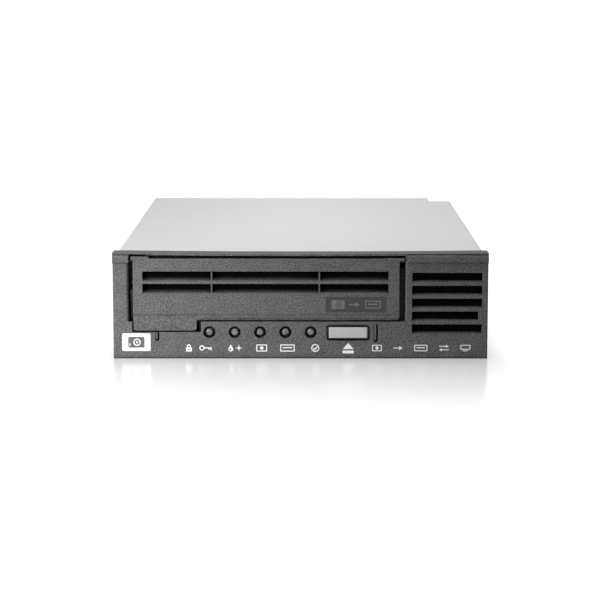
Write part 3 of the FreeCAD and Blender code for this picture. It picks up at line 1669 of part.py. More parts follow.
def supply_bearing():
    cx, cy = bay_centre_x, supply_centre_y
    return ring(bearing_radius - seat_fit, supply_shaft_radius + running_fit,
                (cx, cy, deck_underside - bearing_drop), (cx, cy, z_deck))


def takeup_stator():
    """The stator on the deck with the fixed centre post of the take-up reel."""
    cx, cy = takeup_centre_x, takeup_centre_y
    z1 = z_deck + motor_plate
    z_cap = reel_high + retainer_gap
    plate = rod(motor_radius, (cx, cy, z_deck), (cx, cy, z1))
    coils = coil_ring(cx, cy, takeup_coil_circle, takeup_coil_radius, z1 - bite, takeup_coil_top)
    post = rod(takeup_shaft_radius, (cx, cy, z1 - bite), (cx, cy, z_cap + bite))
    cap = rod(takeup_shaft_radius + retainer_rim, (cx, cy, z_cap), (cx, cy, z_cap + retainer_height))
    return joined([plate, post, cap] + coils)


def takeup_rotor():
    cx, cy = takeup_centre_x, takeup_centre_y
    return ring(motor_radius, takeup_shaft_radius + running_fit, (cx, cy, takeup_coil_top + magnet_gap),
                (cx, cy, reel_low))


def takeup_reel():
    """Hub and two flanges, with lightening holes in the upper flange."""
    cx, cy = takeup_centre_x, takeup_centre_y
    lower = rod(reel_radius, (cx, cy, reel_low), (cx, cy, reel_low + reel_flange))
    hub = rod(reel_hub_radius, (cx, cy, reel_low), (cx, cy, reel_high))
    upper = rod(reel_radius, (cx, cy, reel_high - reel_flange), (cx, cy, reel_high))
    reel = joined([lower, hub, upper])
    cuts = [rod(takeup_shaft_radius + running_fit, (cx, cy, 0), (cx, cy, z_lid))]
    flange_circle = (reel_hub_radius + reel_radius) / 2
    for circle, radius, z0 in ((flange_circle, reel_hole_radius, reel_high - reel_flange - beyond),
                               (hub_hole_circle, hub_hole_radius, reel_low + hub_floor)):
        for n in range(reel_holes):
            turn = 2 * math.pi * n / reel_holes
            x = cx + circle * math.cos(turn)
            y = cy + circle * math.sin(turn)
            cuts.append(rod(radius, (x, y, z0), (x, y, reel_high + beyond)))
    docking = block(cx + reel_hub_radius - docking_depth, cx + reel_hub_radius + beyond,
                    cy - docking_width / 2, cy + docking_width / 2,
                    reel_low + reel_flange, reel_high - reel_flange)
    cuts.append(docking)
    return reel.cut(cuts)


# ---------------------------------------------------------------- tape path


def on_arm_circle(radius, degrees):
    turn = math.radians(degrees)
    return arm_pivot_x + radius * math.cos(turn), arm_pivot_y + radius * math.sin(turn)


def roller_places():
    return [on_arm_circle(roller_circle, a) for a in roller_angles_deg]


def guide_roller(x, y):
    """A flanged tape roller with its running bore."""
    barrel = rod(roller_radius, (x, y, roller_low), (x, y, roller_high))
    low = rod(roller_flange_radius, (x, y, roller_low - roller_flange + roller_end_play),
              (x, y, roller_low))
    high = rod(roller_flange_radius, (x, y, roller_high), (x, y, roller_high + roller_flange))
    bore = rod(roller_post_radius + running_fit, (x, y, 0), (x, y, z_lid))
    return joined([barrel, low, high]).cut(bore)


def roller_posts():
    """The posts that the rollers turn on, each with a cap that keeps its roller down."""
    posts = []
    z_cap = roller_high + roller_flange + roller_end_play
    for x, y in roller_places():
        post = rod(roller_post_radius, (x, y, z_deck + roller_post_depth), (x, y, z_cap + bite))
        cap = rod(roller_post_radius + roller_cap_rim, (x, y, z_cap), (x, y, z_cap + roller_cap))
        posts.append(post.fuse(cap).removeSplitter())
    return group(posts)


def tape_head():
    """The read and write head with its crowned face towards the tape."""
    z0 = tape_middle - head_height / 2
    z1 = tape_middle + head_height / 2
    y0 = arm_pivot_y - head_width / 2
    y1 = arm_pivot_y + head_width / 2
    x_face = arm_pivot_x + roller_circle + roller_radius - head_crown
    outline = Part.Wire([
        Part.LineSegment(vec(head_back_x, y1, z0), vec(head_back_x, y0, z0)).toShape(),
        Part.LineSegment(vec(head_back_x, y0, z0), vec(x_face, y0, z0)).toShape(),
        Part.Arc(vec(x_face, y0, z0), vec(x_face + head_crown, arm_pivot_y, z0),
                 vec(x_face, y1, z0)).toShape(),
        Part.LineSegment(vec(x_face, y1, z0), vec(head_back_x, y1, z0)).toShape(),
    ])
    return Part.Face(outline).extrude(vec(0, 0, z1 - z0))


def head_sled():
    """The carriage that lifts the head, running on two rods and a screw."""
    z0 = tape_middle - sled_height / 2
    z1 = tape_middle + sled_height / 2
    half = sled_thickness / 2
    reach = sled_rod_offset + sled_ear
    cross = block(head_axis_x - half, head_axis_x + half, arm_pivot_y - reach, arm_pivot_y + reach, z0, z1)
    arm = block(head_axis_x + half - bite, head_back_x, arm_pivot_y - sled_arm_width / 2,
                arm_pivot_y + sled_arm_width / 2, z0, z1)
    cuts = [rod(head_screw_radius + nut_clearance, (head_axis_x, arm_pivot_y, 0),
                (head_axis_x, arm_pivot_y, z_lid))]
    for dy in (-sled_rod_offset, sled_rod_offset):
        cuts.append(rod(sled_rod_radius + running_fit, (head_axis_x, arm_pivot_y + dy, 0),
                        (head_axis_x, arm_pivot_y + dy, z_lid)))
    return joined([cross, arm]).cut(cuts)


def head_frame():
    """The two guide rods and the bridge plate that joins their tops."""
    rods = []
    for dy in (-sled_rod_offset, sled_rod_offset):
        rods.append(rod(sled_rod_radius, (head_axis_x, arm_pivot_y + dy, z_deck - sled_rod_depth),
                        (head_axis_x, arm_pivot_y + dy, bridge_height + bite)))
    reach = sled_rod_offset + sled_ear
    plate = block(head_axis_x - bridge_width / 2, head_axis_x + bridge_width / 2,
                  arm_pivot_y - reach, arm_pivot_y + reach, bridge_height, bridge_height + bridge_plate)
    bore = rod(head_screw_radius + running_fit, (head_axis_x, arm_pivot_y, bridge_height - beyond),
               (head_axis_x, arm_pivot_y, z_lid))
    return joined([plate] + rods).cut(bore)


def head_stepper():
    can = rod(stepper_radius, (head_axis_x, arm_pivot_y, z_deck), (head_axis_x, arm_pivot_y, stepper_top))
    well = rod(head_screw_radius + running_fit,
               (head_axis_x, arm_pivot_y, stepper_top - head_screw_depth - bite),
               (head_axis_x, arm_pivot_y, stepper_top + beyond))
    return can.cut(well)


def head_screw():
    return rod(head_screw_radius, (head_axis_x, arm_pivot_y, stepper_top - head_screw_depth),
               (head_axis_x, arm_pivot_y, bridge_height + bridge_plate))


def threading_arm():
    """The arm that carries the leader from the cartridge round the rollers."""
    x_end, y_end = on_arm_circle(arm_reach, arm_start_deg)
    turn = math.radians(arm_start_deg)
    side_x = -math.sin(turn) * arm_width / 2
    side_y = math.cos(turn) * arm_width / 2
    outline = [
        (arm_pivot_x + side_x, arm_pivot_y + side_y),
        (x_end + side_x, y_end + side_y),
        (x_end - side_x, y_end - side_y),
        (arm_pivot_x - side_x, arm_pivot_y - side_y),
    ]
    z0 = arm_height
    z1 = arm_height + arm_plate
    plate = prism_z(outline, z0, z1)
    tip = rod(arm_width / 2, (x_end, y_end, z0), (x_end, y_end, z1))
    hub = rod(arm_hub_radius, (arm_pivot_x, arm_pivot_y, z1 - arm_hub_height),
              (arm_pivot_x, arm_pivot_y, z1))
    drop = rod(arm_width / 2 - arm_drop_inset, (x_end, y_end, grabber_high), (x_end, y_end, z0 + bite))
    bore = rod(arm_shaft_radius + running_fit, (arm_pivot_x, arm_pivot_y, 0),
               (arm_pivot_x, arm_pivot_y, z_lid))
    return joined([plate, tip, hub, drop]).cut(bore)


def leader_grabber():
    """The hook block that takes hold of the cartridge's leader pin."""
    x, y = on_arm_circle(arm_reach, arm_start_deg)
    half = grabber_size / 2
    body = rod(half, (x, y, grabber_low), (x, y, grabber_high))
    z0 = grabber_low - beyond
    z1 = grabber_high - grabber_roof
    mouth = block(x - half - beyond, x, y - grabber_mouth, y + grabber_mouth, z0, z1)
    pocket = rod(grabber_mouth, (x, y, z0), (x, y, z1))
    return body.cut([mouth, pocket])


# ---------------------------------------------------------------- boards, fan and connectors


def main_board():
    board = block(board_left, board_right, board_front, board_rear, board_underside, z_board)
    cuts = []
    for x, y in board_screw_places():
        cuts.append(rod(screw_core_radius + board_hole_clearance, (x, y, 0), (x, y, z_deck)))
    for x, y in bottom_screw_places():
        cuts.append(rod(cover_boss_radius + board_boss_clearance, (x, y, 0), (x, y, z_deck)))
    return board.cut(cuts)


def board_chips():
    """The larger chips on the underside of the main board."""
    solids = []
    for from_left, from_front, width, depth, height in chips:
        x = board_left + from_left
        y = board_front + from_front
        solids.append(block(x, x + width, y, y + depth, board_underside - height, board_underside))
    return group(solids)


def board_capacitors():
    """Small capacitors between the main board and the deck."""
    places = [(board_left + capacitor_inset + n * capacitor_pitch, board_front + capacitor_inset)
              for n in range(capacitor_front_row)]
    places += [(board_right - capacitor_side_inset,
                board_front + capacitor_side_start + n * capacitor_side_pitch)
               for n in range(capacitor_side_row)]
    return group([rod(capacitor_radius, (x, y, z_board), (x, y, z_board + capacitor_height))
                  for x, y in places])


def board_screws():
    """The screws of the main board and of the front board."""
    screws = front_board_screws()
    for x, y in board_screw_places():
        z = board_underside - screw_head_height
        screws.append(pan_screw(x, y, z, z_deck - board_screw_cap - board_underside))
    return group(screws)


def sas_connector():
    """The blind-mate plug: a shell round a thin contact tongue, open to the rear."""
    x0 = sas_centre_x - sas_width / 2
    x1 = sas_centre_x + sas_width / 2
    z0 = sas_low
    z1 = z0 + sas_height
    shell = block(x0, x1, board_rear, y_rear, z0, z1)
    cavity = block(x0 + sas_shell, x1 - sas_shell, y_rear - sas_depth, y_rear + 1,
                   z0 + sas_shell, z1 - sas_shell)
    z_mid = (z0 + z1) / 2
    inset = sas_shell + sas_tongue_inset
    y0 = y_rear - sas_depth - bite
    y1 = y_rear - sas_tongue_setback
    tongue = block(x0 + inset, x1 - inset, y0, y1, z_mid - sas_tongue / 2, z_mid + sas_tongue / 2)
    key_left = sas_centre_x - sas_key_from_middle
    key = block(key_left, key_left + sas_key_width, y0, y1, z_mid, z1 - sas_shell + bite)
    return joined([shell.cut(cavity), tongue, key])


def service_port():
    """The small service socket on top of the main board, with its two rows of pins."""
    x0 = port_centre_x - port_width / 2
    x1 = port_centre_x + port_width / 2
    z0 = z_board
    z1 = z0 + port_height
    half = port_pin / 2
    shell = block(x0, x1, y_rear - port_length, y_rear, z0, z1)
    cavity = block(x0 + port_shell, x1 - port_shell, y_rear - port_depth, y_rear + beyond,
                   z0 + port_shell, z1 - port_shell)
    pins = []
    for row in (-port_pin_row, port_pin_row):
        for n in range(port_pins_per_row):
            x = port_centre_x + (n - (port_pins_per_row - 1) / 2) * port_pin_pitch
            z = (z0 + z1) / 2 + row
            pins.append(block(x - half, x + half, y_rear - port_depth - bite, y_rear - port_pin_setback,
                              z - half, z + half))
    return joined([shell.cut(cavity)] + pins)


def fan_frame():
    """The square fan housing with its motor plate on three struts."""
    y1 = y_rear_sheet
    y0 = y1 - fan_depth
    half = fan_size / 2
    body = block(fan_centre_x - half, fan_centre_x + half, y0, y1, fan_centre_z - half, fan_centre_z + half)
    upright = [e for e in body.Edges if near(e.Length, fan_depth)]
    body = body.makeFillet(fan_corner_radius, upright)
    body = body.cut(rod(fan_bore_radius, (fan_centre_x, y0 - beyond, fan_centre_z),
                        (fan_centre_x, y1 + beyond, fan_centre_z)))
    plate = rod(fan_hub_radius, (fan_centre_x, y1 - fan_hub_plate, fan_centre_z),
                (fan_centre_x, y1, fan_centre_z))
    struts = []
    for n in range(fan_struts):
        strut = block(fan_centre_x - fan_strut / 2, fan_centre_x + fan_strut / 2, y1 - fan_hub_plate, y1,
                      fan_centre_z, fan_centre_z + fan_bore_radius + bite)
        strut.rotate(vec(fan_centre_x, y1, fan_centre_z), vec(0, 1, 0), 360 * (n + 0.5) / fan_struts)
        struts.append(strut)
    body = joined([body, plate] + struts)
    cuts = [rod(fan_shaft_radius + running_fit, (fan_centre_x, y1 - fan_hub_plate - beyond, fan_centre_z),
                (fan_centre_x, y1 + beyond, fan_centre_z))]
    for x, z in fan_screw_places():
        cuts.append(rod(screw_core_radius, (x, y1 - fan_screw_depth - beyond, z), (x, y1 + beyond, z)))
    return body.cut(cuts)


def fan_rotor():
    """The hub cup, its shaft and the swept blades."""
    y1 = y_rear_sheet - fan_hub_plate - fan_rotor_gap
    y0 = y1 - fan_rotor_depth
    hub = rod(fan_hub_radius, (fan_centre_x, y0, fan_centre_z), (fan_centre_x, y1, fan_centre_z))
    shaft = rod(fan_shaft_radius, (fan_centre_x, y1 - bite, fan_centre_z),
                (fan_centre_x, y_rear_sheet - fan_shaft_end, fan_centre_z))
    blades = []
    for n in range(fan_blades):
        blade = block(-fan_blade / 2, fan_blade / 2, -fan_rotor_depth, fan_rotor_depth, 0, fan_blade_radius)
        blade.rotate(vec(0, 0, 0), vec(0, 0, 1), fan_blade_pitch_deg)
        blade.translate(vec(fan_centre_x, (y0 + y1) / 2, fan_centre_z))
        blade.rotate(vec(fan_centre_x, y0, fan_centre_z), vec(0, 1, 0), 360.0 * n / fan_blades)
        blades.append(blade)
    swept = rod(fan_blade_radius, (fan_centre_x, y0, fan_centre_z), (fan_centre_x, y1, fan_centre_z))
    return joined([hub, shaft] + [b.common(swept) for b in blades])


def fan_screws():
    """Countersunk screws, flush with the rear panel."""
    return group([flush_screw((x, y_rear, z), (0, 1, 0), rear_sheet, fan_screw_depth)
                  for x, z in fan_screw_places()])


def memory_reader():
    """The upright board that reads the cartridge's memory chip from behind."""
    y0 = cam_rear + cam_travel + reader_clearance
    y1 = y0 + reader_thickness + reader_foot
    reach = math.sqrt((reel_radius + reader_reel_gap) ** 2 - (takeup_centre_y - y1) ** 2)
    x1 = takeup_centre_x - reach
    x0 = x1 - reader_width
    board = block(x0, x1, y0, y0 + reader_thickness, z_deck, z_deck + reader_height)
    foot = block(x0, x1, y0 + reader_thickness, y1, z_deck, z_deck + reader_foot_height)
    return joined([board, foot])


# ---------------------------------------------------------------- writing the sub-parts


def all_nodes():
    """Every sub-part by its node name."""
    nodes = {
        "front_bezel": front_bezel(),
        "front_badge": front_badge(),
        "hinge_pins": hinge_pins(),
        "door_spring": door_spring(),
        "cartridge_door": cartridge_door(),
        "eject_button": eject_button(),
        "switch_plunger": switch_plunger(),
        "eject_switch": eject_switch(),
        "indicator_leds": indicator_leds(),
        "front_board": front_board(),
        "panel_ribbon": panel_ribbon(),
        "base_deck": base_deck(),
        "top_cover": top_cover(),
        "cover_screws": cover_screws(),
        "bottom_cover": bottom_cover(),
        "rear_panel": rear_panel(),
        "cartridge_tray": cartridge_tray(),
        "tray_pins": tray_pins(),
        "loader_guide_left": loader_guide(-1),
        "loader_guide_right": loader_guide(1),
        "cam_slider_left": cam_slider(-1),
        "cam_slider_right": cam_slider(1),
        "cam_tie_bar": cam_tie_bar(),
        "loader_motor": loader_motor(),
        "loader_bracket": loader_bracket(),
        "loader_screw": loader_screw(),
        "supply_chuck": supply_chuck(),
        "supply_rotor": supply_rotor(),
        "supply_motor": supply_motor(),
        "supply_bearing": supply_bearing(),
        "takeup_stator": takeup_stator(),
        "takeup_rotor": takeup_rotor(),
        "takeup_reel": takeup_reel(),
        "roller_posts": roller_posts(),
        "tape_head": tape_head(),
        "head_sled": head_sled(),
        "head_frame": head_frame(),
        "head_stepper": head_stepper(),
        "head_screw": head_screw(),
        "threading_arm": threading_arm(),
        "leader_grabber": leader_grabber(),
        "main_board": main_board(),
        "board_chips": board_chips(),
        "board_capacitors": board_capacitors(),
        "board_screws": board_screws(),
        "sas_connector": sas_connector(),
        "service_port": service_port(),
        "fan_frame": fan_frame(),
        "fan_rotor": fan_rotor(),
        "fan_screws": fan_screws(),
        "memory_reader": memory_reader(),
    }
    for number, x in enumerate(lens_places, start=1):
        nodes[f"indicator_lens_{number}"] = indicator_lens(x)
    for number, (x, y) in enumerate(roller_places(), start=1):
        nodes[f"guide_roller_{number}"] = guide_roller(x, y)
    return nodes


def main():
    os.makedirs("parts", exist_ok=True)
    for name, shape in all_nodes().items():
        shape.exportStep(f"parts/{name}.step")
        solids = shape.Solids
        valid = all(s.isValid() for s in solids)
        print(f"{name}: {len(solids)} solid(s), {sum(s.Volume for s in solids):.1f} mm3, valid {valid}")


main()
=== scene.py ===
# Half-height data tape drive on a pale glossy table: studio, finishes and printed marks.
# Lengths in the dictionaries are in millimetres unless a name says otherwise.
import bmesh
import bpy
import json
import math
from mathutils import Matrix, Vector


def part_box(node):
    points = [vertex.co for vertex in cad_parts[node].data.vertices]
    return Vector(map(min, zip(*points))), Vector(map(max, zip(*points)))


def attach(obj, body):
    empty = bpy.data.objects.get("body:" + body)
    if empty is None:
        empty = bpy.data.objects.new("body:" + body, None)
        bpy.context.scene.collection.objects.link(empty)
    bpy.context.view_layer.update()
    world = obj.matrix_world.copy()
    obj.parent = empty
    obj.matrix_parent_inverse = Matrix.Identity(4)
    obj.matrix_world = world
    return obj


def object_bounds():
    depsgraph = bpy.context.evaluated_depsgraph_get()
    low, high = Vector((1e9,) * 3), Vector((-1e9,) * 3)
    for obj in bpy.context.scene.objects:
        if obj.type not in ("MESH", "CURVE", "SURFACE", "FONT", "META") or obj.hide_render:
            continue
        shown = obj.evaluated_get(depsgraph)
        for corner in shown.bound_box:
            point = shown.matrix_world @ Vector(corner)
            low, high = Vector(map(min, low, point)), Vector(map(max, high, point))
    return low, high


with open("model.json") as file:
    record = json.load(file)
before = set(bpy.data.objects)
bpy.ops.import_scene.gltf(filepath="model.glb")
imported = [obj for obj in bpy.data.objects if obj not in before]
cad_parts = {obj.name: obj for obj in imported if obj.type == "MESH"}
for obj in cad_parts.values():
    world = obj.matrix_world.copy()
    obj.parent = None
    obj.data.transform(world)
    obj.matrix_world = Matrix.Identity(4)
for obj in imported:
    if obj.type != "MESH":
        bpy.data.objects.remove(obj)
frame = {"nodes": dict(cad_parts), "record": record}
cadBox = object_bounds()
nodes = frame["nodes"]
mm = 0.001
perMetre = 1000.0

# the panel's flat face lies behind its bead by beadStep
panel = {"beadStep": 1.0}
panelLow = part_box("front_bezel")[0] / mm
facePlane = panelLow.y + panel["beadStep"]
faceY = facePlane * mm


def addNode(tree, kind, inputs=None, **settings):
    # adds a shader node; an input that is a socket is linked, and any other is set
    made = tree.nodes.new(kind)
    for key, value in settings.items():
        setattr(made, key, value)
    for key, value in (inputs or {}).items():
        socket = made.inputs[key]
        if isinstance(value, bpy.types.NodeSocket):
            tree.links.new(value, socket)
        else:
            socket.default_value = value
    return made


def calc(tree, operation, first, second=0.5, clamp=False):
    made = addNode(tree, "ShaderNodeMath", {0: first, 1: second}, operation=operation, use_clamp=clamp)
    return made.outputs[0]


def blendColour(tree, factor, first, second):
    # a colour mix keeps its colours at sockets 6 and 7 and its result at 2
    return addNode(tree, "ShaderNodeMix", {0: factor, 6: first, 7: second}, data_type="RGBA").outputs[2]


def spread(tree, value, fromLow, fromHigh, low=0.0, high=1.0):
    made = addNode(tree, "ShaderNodeMapRange", {"Value": value, "From Min": fromLow, "From Max": fromHigh,
                                                "To Min": low, "To Max": high})
    return made.outputs[0]


def mixed(tree, first, second, share):
    # a share of the first and the rest of the second
    return calc(tree, "ADD", calc(tree, "MULTIPLY", first, share), calc(tree, "MULTIPLY", second, 1.0 - share))


def swing(tree, tone, contrast):
    # how far a tone between 0 and 1 moves a value to either side
    return calc(tree, "MULTIPLY", calc(tree, "SUBTRACT", tone, 0.5), calc(tree, "MULTIPLY", contrast, 2.0))


def textureScale(tree, size, finer=1.0):
    # the scale at which one feature of a texture measures size millimetres, or finer times less
    return calc(tree, "DIVIDE", finer * perMetre, size)


def rgba(colour):
    return (*colour, 1.0)


def newGroup(name, inputs, outputs):
    group = bpy.data.node_groups.new(name, "ShaderNodeTree")
    for label, kind, value in inputs:
        socket = group.interface.new_socket(label, in_out="INPUT", socket_type="NodeSocket" + kind)
        socket.default_value = value
    for label, kind in outputs:
        group.interface.new_socket(label, in_out="OUTPUT", socket_type="NodeSocket" + kind)
    return group, group.nodes.new("NodeGroupInput").outputs, group.nodes.new("NodeGroupOutput").inputs


# where an effect starts and where it is full, as values of what drives it
ranges = {"tone": (0.3, 0.7), "edge": (0.995, 0.8), "wornPatch": (0.35, 0.65), "facingUp": (0.2, 1.0),
          "dustPatch": (0.4, 0.7), "narrow": (0.62, 0.15), "sheltered": (0.93, 0.5)}
# how much of each texture comes from its fine layer
fineShares = {"grainHeight": 0.75, "grainTone": 0.88, "linesTone": 0.6}
# pits are smaller than grains, and dust never thins out fully
pitsFiner, thinnestDust = 1.3, 0.2
# the near-black that the painted shade in gaps and recesses darkens colours towards
paintedShadeColour = (0.002, 0.002, 0.002)
# a front plane so far behind every piece that nothing counts as sunk
farBehind = 1000.0
# wear polishes and dust dulls
glossShift = {"wornAndLit": 0.15, "dusty": 0.4}


def makeMouldGrain():
    # the pitted skin that spark erosion leaves in a mould, with a coarser drift over it
    group, given, result = newGroup(
        "mouldGrain",
        [("Grain", "Float", 0.3), ("Drift", "Float", 4.0)],
        [("Height", "Float"), ("Tone", "Float")])
    place = addNode(group, "ShaderNodeTexCoord").outputs["Object"]
    fine = addNode(group, "ShaderNodeTexNoise", {"Vector": place, "Detail": 2.0, "Roughness": 0.65,
                                                 "Scale": textureScale(group, given["Grain"])}).outputs[0]
    pits = addNode(group, "ShaderNodeTexVoronoi", {
        "Vector": place, "Scale": textureScale(group, given["Grain"], pitsFiner)}).outputs[0]
    drift = addNode(group, "ShaderNodeTexNoise", {"Vector": place, "Detail": 3.0,
                                                  "Scale": textureScale(group, given["Drift"])}).outputs[0]
    group.links.new(mixed(group, fine, pits, fineShares["grainHeight"]), result["Height"])
    tone = mixed(group, fine, drift, fineShares["grainTone"])
    group.links.new(spread(group, tone, *ranges["tone"]), result["Tone"])
    return group


def makeDrawnLines():
    # long faint scratches of rolled or brushed metal; Stretch is how many millimetres a line runs each way
    group, given, result = newGroup(
        "drawnLines",
        [("Stretch", "Vector", (12.0, 0.25, 0.25)), ("Cloud", "Float", 22.0)],
        [("Height", "Float"), ("Tone", "Float")])
    place = addNode(group, "ShaderNodeTexCoord").outputs["Object"]
    inMillimetres = addNode(group, "ShaderNodeVectorMath", {0: place, "Scale": perMetre},
                            operation="SCALE").outputs[0]
    drawn = addNode(group, "ShaderNodeVectorMath", {0: inMillimetres, 1: given["Stretch"]},
                    operation="DIVIDE").outputs[0]
    lines = addNode(group, "ShaderNodeTexNoise", {"Vector": drawn, "Scale": 1.0, "Detail": 4.0,
                                                  "Roughness": 0.6}).outputs[0]
    cloud = addNode(group, "ShaderNodeTexNoise", {"Vector": place, "Detail": 3.0,
                                                  "Scale": textureScale(group, given["Cloud"])}).outputs[0]
    tone = mixed(group, lines, cloud, fineShares["linesTone"])
    group.links.new(lines, result["Height"])
    group.links.new(spread(group, tone, *ranges["tone"]), result["Tone"])
    return group


def makeEdgeWearAndHighlight():
    # finds edges by rounding them in shading, and breaks the mask up so that wear comes in patches; the lighter worn
    # colour is real wear and, on the front panel, also a painted highlight along its edges
    group, given, result = newGroup(
        "edgeWearAndHighlight",
        [("Radius", "Float", 0.3), ("Patch", "Float", 3.0), ("Amount", "Float", 0.5)],
        [("Mask", "Float"), ("Rounded", "Vector")])
    rounded = addNode(group, "ShaderNodeBevel", {"Radius": calc(group, "MULTIPLY", given["Radius"], mm)},
                      samples=6).outputs[0]
    flat = addNode(group, "ShaderNodeNewGeometry").outputs["True Normal"]
    match = addNode(group, "ShaderNodeVectorMath", {0: rounded, 1: flat}, operation="DOT_PRODUCT").outputs["Value"]
    edge = spread(group, match, *ranges["edge"])
    place = addNode(group, "ShaderNodeTexCoord").outputs["Object"]
    patch = addNode(group, "ShaderNodeTexNoise", {"Vector": place, "Detail": 4.0, "Roughness": 0.6,
                                                  "Scale": textureScale(group, given["Patch"])}).outputs[0]
    broken = calc(group, "MULTIPLY", edge, spread(group, patch, *ranges["wornPatch"]))
    group.links.new(calc(group, "MULTIPLY", broken, given["Amount"], clamp=True), result["Mask"])
    group.links.new(rounded, result["Rounded"])
    return group


def makeDustFilm():
    # a thin uneven film on faces that look up
    group, given, result = newGroup(
        "dustFilm",
        [("Amount", "Float", 0.1), ("Patch", "Float", 9.0)],
        [("Mask", "Float")])
    coords = addNode(group, "ShaderNodeTexCoord").outputs
    upward = addNode(group, "ShaderNodeSeparateXYZ", {0: coords["Normal"]}).outputs["Z"]
    patch = addNode(group, "ShaderNodeTexNoise", {"Vector": coords["Object"], "Detail": 6.0, "Roughness": 0.7,
                                                  "Scale": textureScale(group, given["Patch"])}).outputs[0]
    film = calc(group, "MULTIPLY", spread(group, upward, *ranges["facingUp"]),
                spread(group, patch, *ranges["dustPatch"], thinnestDust))
    group.links.new(calc(group, "MULTIPLY", film, given["Amount"], clamp=True), result["Mask"])
    return group


def makePaintedCreviceShade():
    # painted shade: dark in narrow gaps, and in openings the more the farther a point lies behind the front plane,
    # where shadow falls
    group, given, result = newGroup(
        "paintedCreviceShade",
        [("Reach", "Float", 4.0), ("Amount", "Float", 0.5), ("Plane", "Float", farBehind),
         ("Sink", "Float", 2.0)],
        [("Mask", "Float")])
    openness = addNode(group, "ShaderNodeAmbientOcclusion", {"Distance": calc(group, "MULTIPLY", given["Reach"], mm)},
                       samples=6).outputs["AO"]
    narrow = spread(group, openness, *ranges["narrow"])
    sheltered = spread(group, openness, *ranges["sheltered"])
    place = addNode(group, "ShaderNodeTexCoord").outputs["Object"]
    back = calc(group, "MULTIPLY", addNode(group, "ShaderNodeSeparateXYZ", {0: place}).outputs["Y"], perMetre)
    sunk = calc(group, "DIVIDE", calc(group, "SUBTRACT", back, given["Plane"]), given["Sink"], clamp=True)
    depth = calc(group, "MAXIMUM", narrow, calc(group, "MULTIPLY", sheltered, sunk))
    group.links.new(calc(group, "MULTIPLY", depth, given["Amount"], clamp=True), result["Mask"])
    return group


def makeLayeredColour():
    # body colour lightened and darkened by a tone, then painted shade in gaps and recesses, worn edges that are partly
    # a painted highlight, and dust
    group, given, result = newGroup(
        "layeredColour",
        [("Body", "Color", (0.5, 0.5, 0.5, 1.0)), ("Tone", "Float", 0.5), ("Contrast", "Float", 0.1),
         ("PaintedShade", "Float", 0.0), ("WearAndHighlight", "Float", 0.0), ("WornAndLit", "Color", (0.6, 0.6, 0.6, 1.0)),
         ("Dust", "Float", 0.0), ("Dusty", "Color", (0.5, 0.49, 0.47, 1.0))],
        [("Colour", "Color")])
    lift = calc(group, "ADD", swing(group, given["Tone"], given["Contrast"]), 1.0)
    toned = addNode(group, "ShaderNodeVectorMath", {0: given["Body"], "Scale": lift}, operation="SCALE").outputs[0]
    shadeDarkened = blendColour(group, given["PaintedShade"], toned, rgba(paintedShadeColour))
    wornAndLit = blendColour(group, given["WearAndHighlight"], shadeDarkened, given["WornAndLit"])
    group.links.new(blendColour(group, given["Dust"], wornAndLit, given["Dusty"]), result["Colour"])
    return group


def makeLayeredGloss():
    # roughness that follows the same tone, wear and dust
    group, given, result = newGroup(
        "layeredGloss",
        [("Roughness", "Float", 0.5), ("Tone", "Float", 0.5), ("Contrast", "Float", 0.1),
         ("WearAndHighlight", "Float", 0.0), ("Dust", "Float", 0.0)],
        [("Roughness", "Float")])
    base = calc(group, "ADD", given["Roughness"], swing(group, given["Tone"], given["Contrast"]))
    smoothed = calc(group, "SUBTRACT", base, calc(group, "MULTIPLY", given["WearAndHighlight"], glossShift["wornAndLit"]))
    dusted = calc(group, "ADD", smoothed, calc(group, "MULTIPLY", given["Dust"], glossShift["dusty"]), clamp=True)
    group.links.new(dusted, result["Roughness"])
    return group


effects = {"mouldGrain": makeMouldGrain(), "drawnLines": makeDrawnLines(), "edgeWearAndHighlight": makeEdgeWearAndHighlight(),
           "dustFilm": makeDustFilm(), "paintedCreviceShade": makePaintedCreviceShade(), "layeredColour": makeLayeredColour(),
           "layeredGloss": makeLayeredGloss()}
print("effects:", ", ".join(effects))


def addEffect(tree, name, inputs):
    return addNode(tree, "ShaderNodeGroup", inputs, node_tree=effects[name]).outputs


def blankMaterial(name):
    material = bpy.data.materials.new(name)
    material.use_nodes = True
    tree = material.node_tree
    return material, tree, tree.nodes["Principled BSDF"]


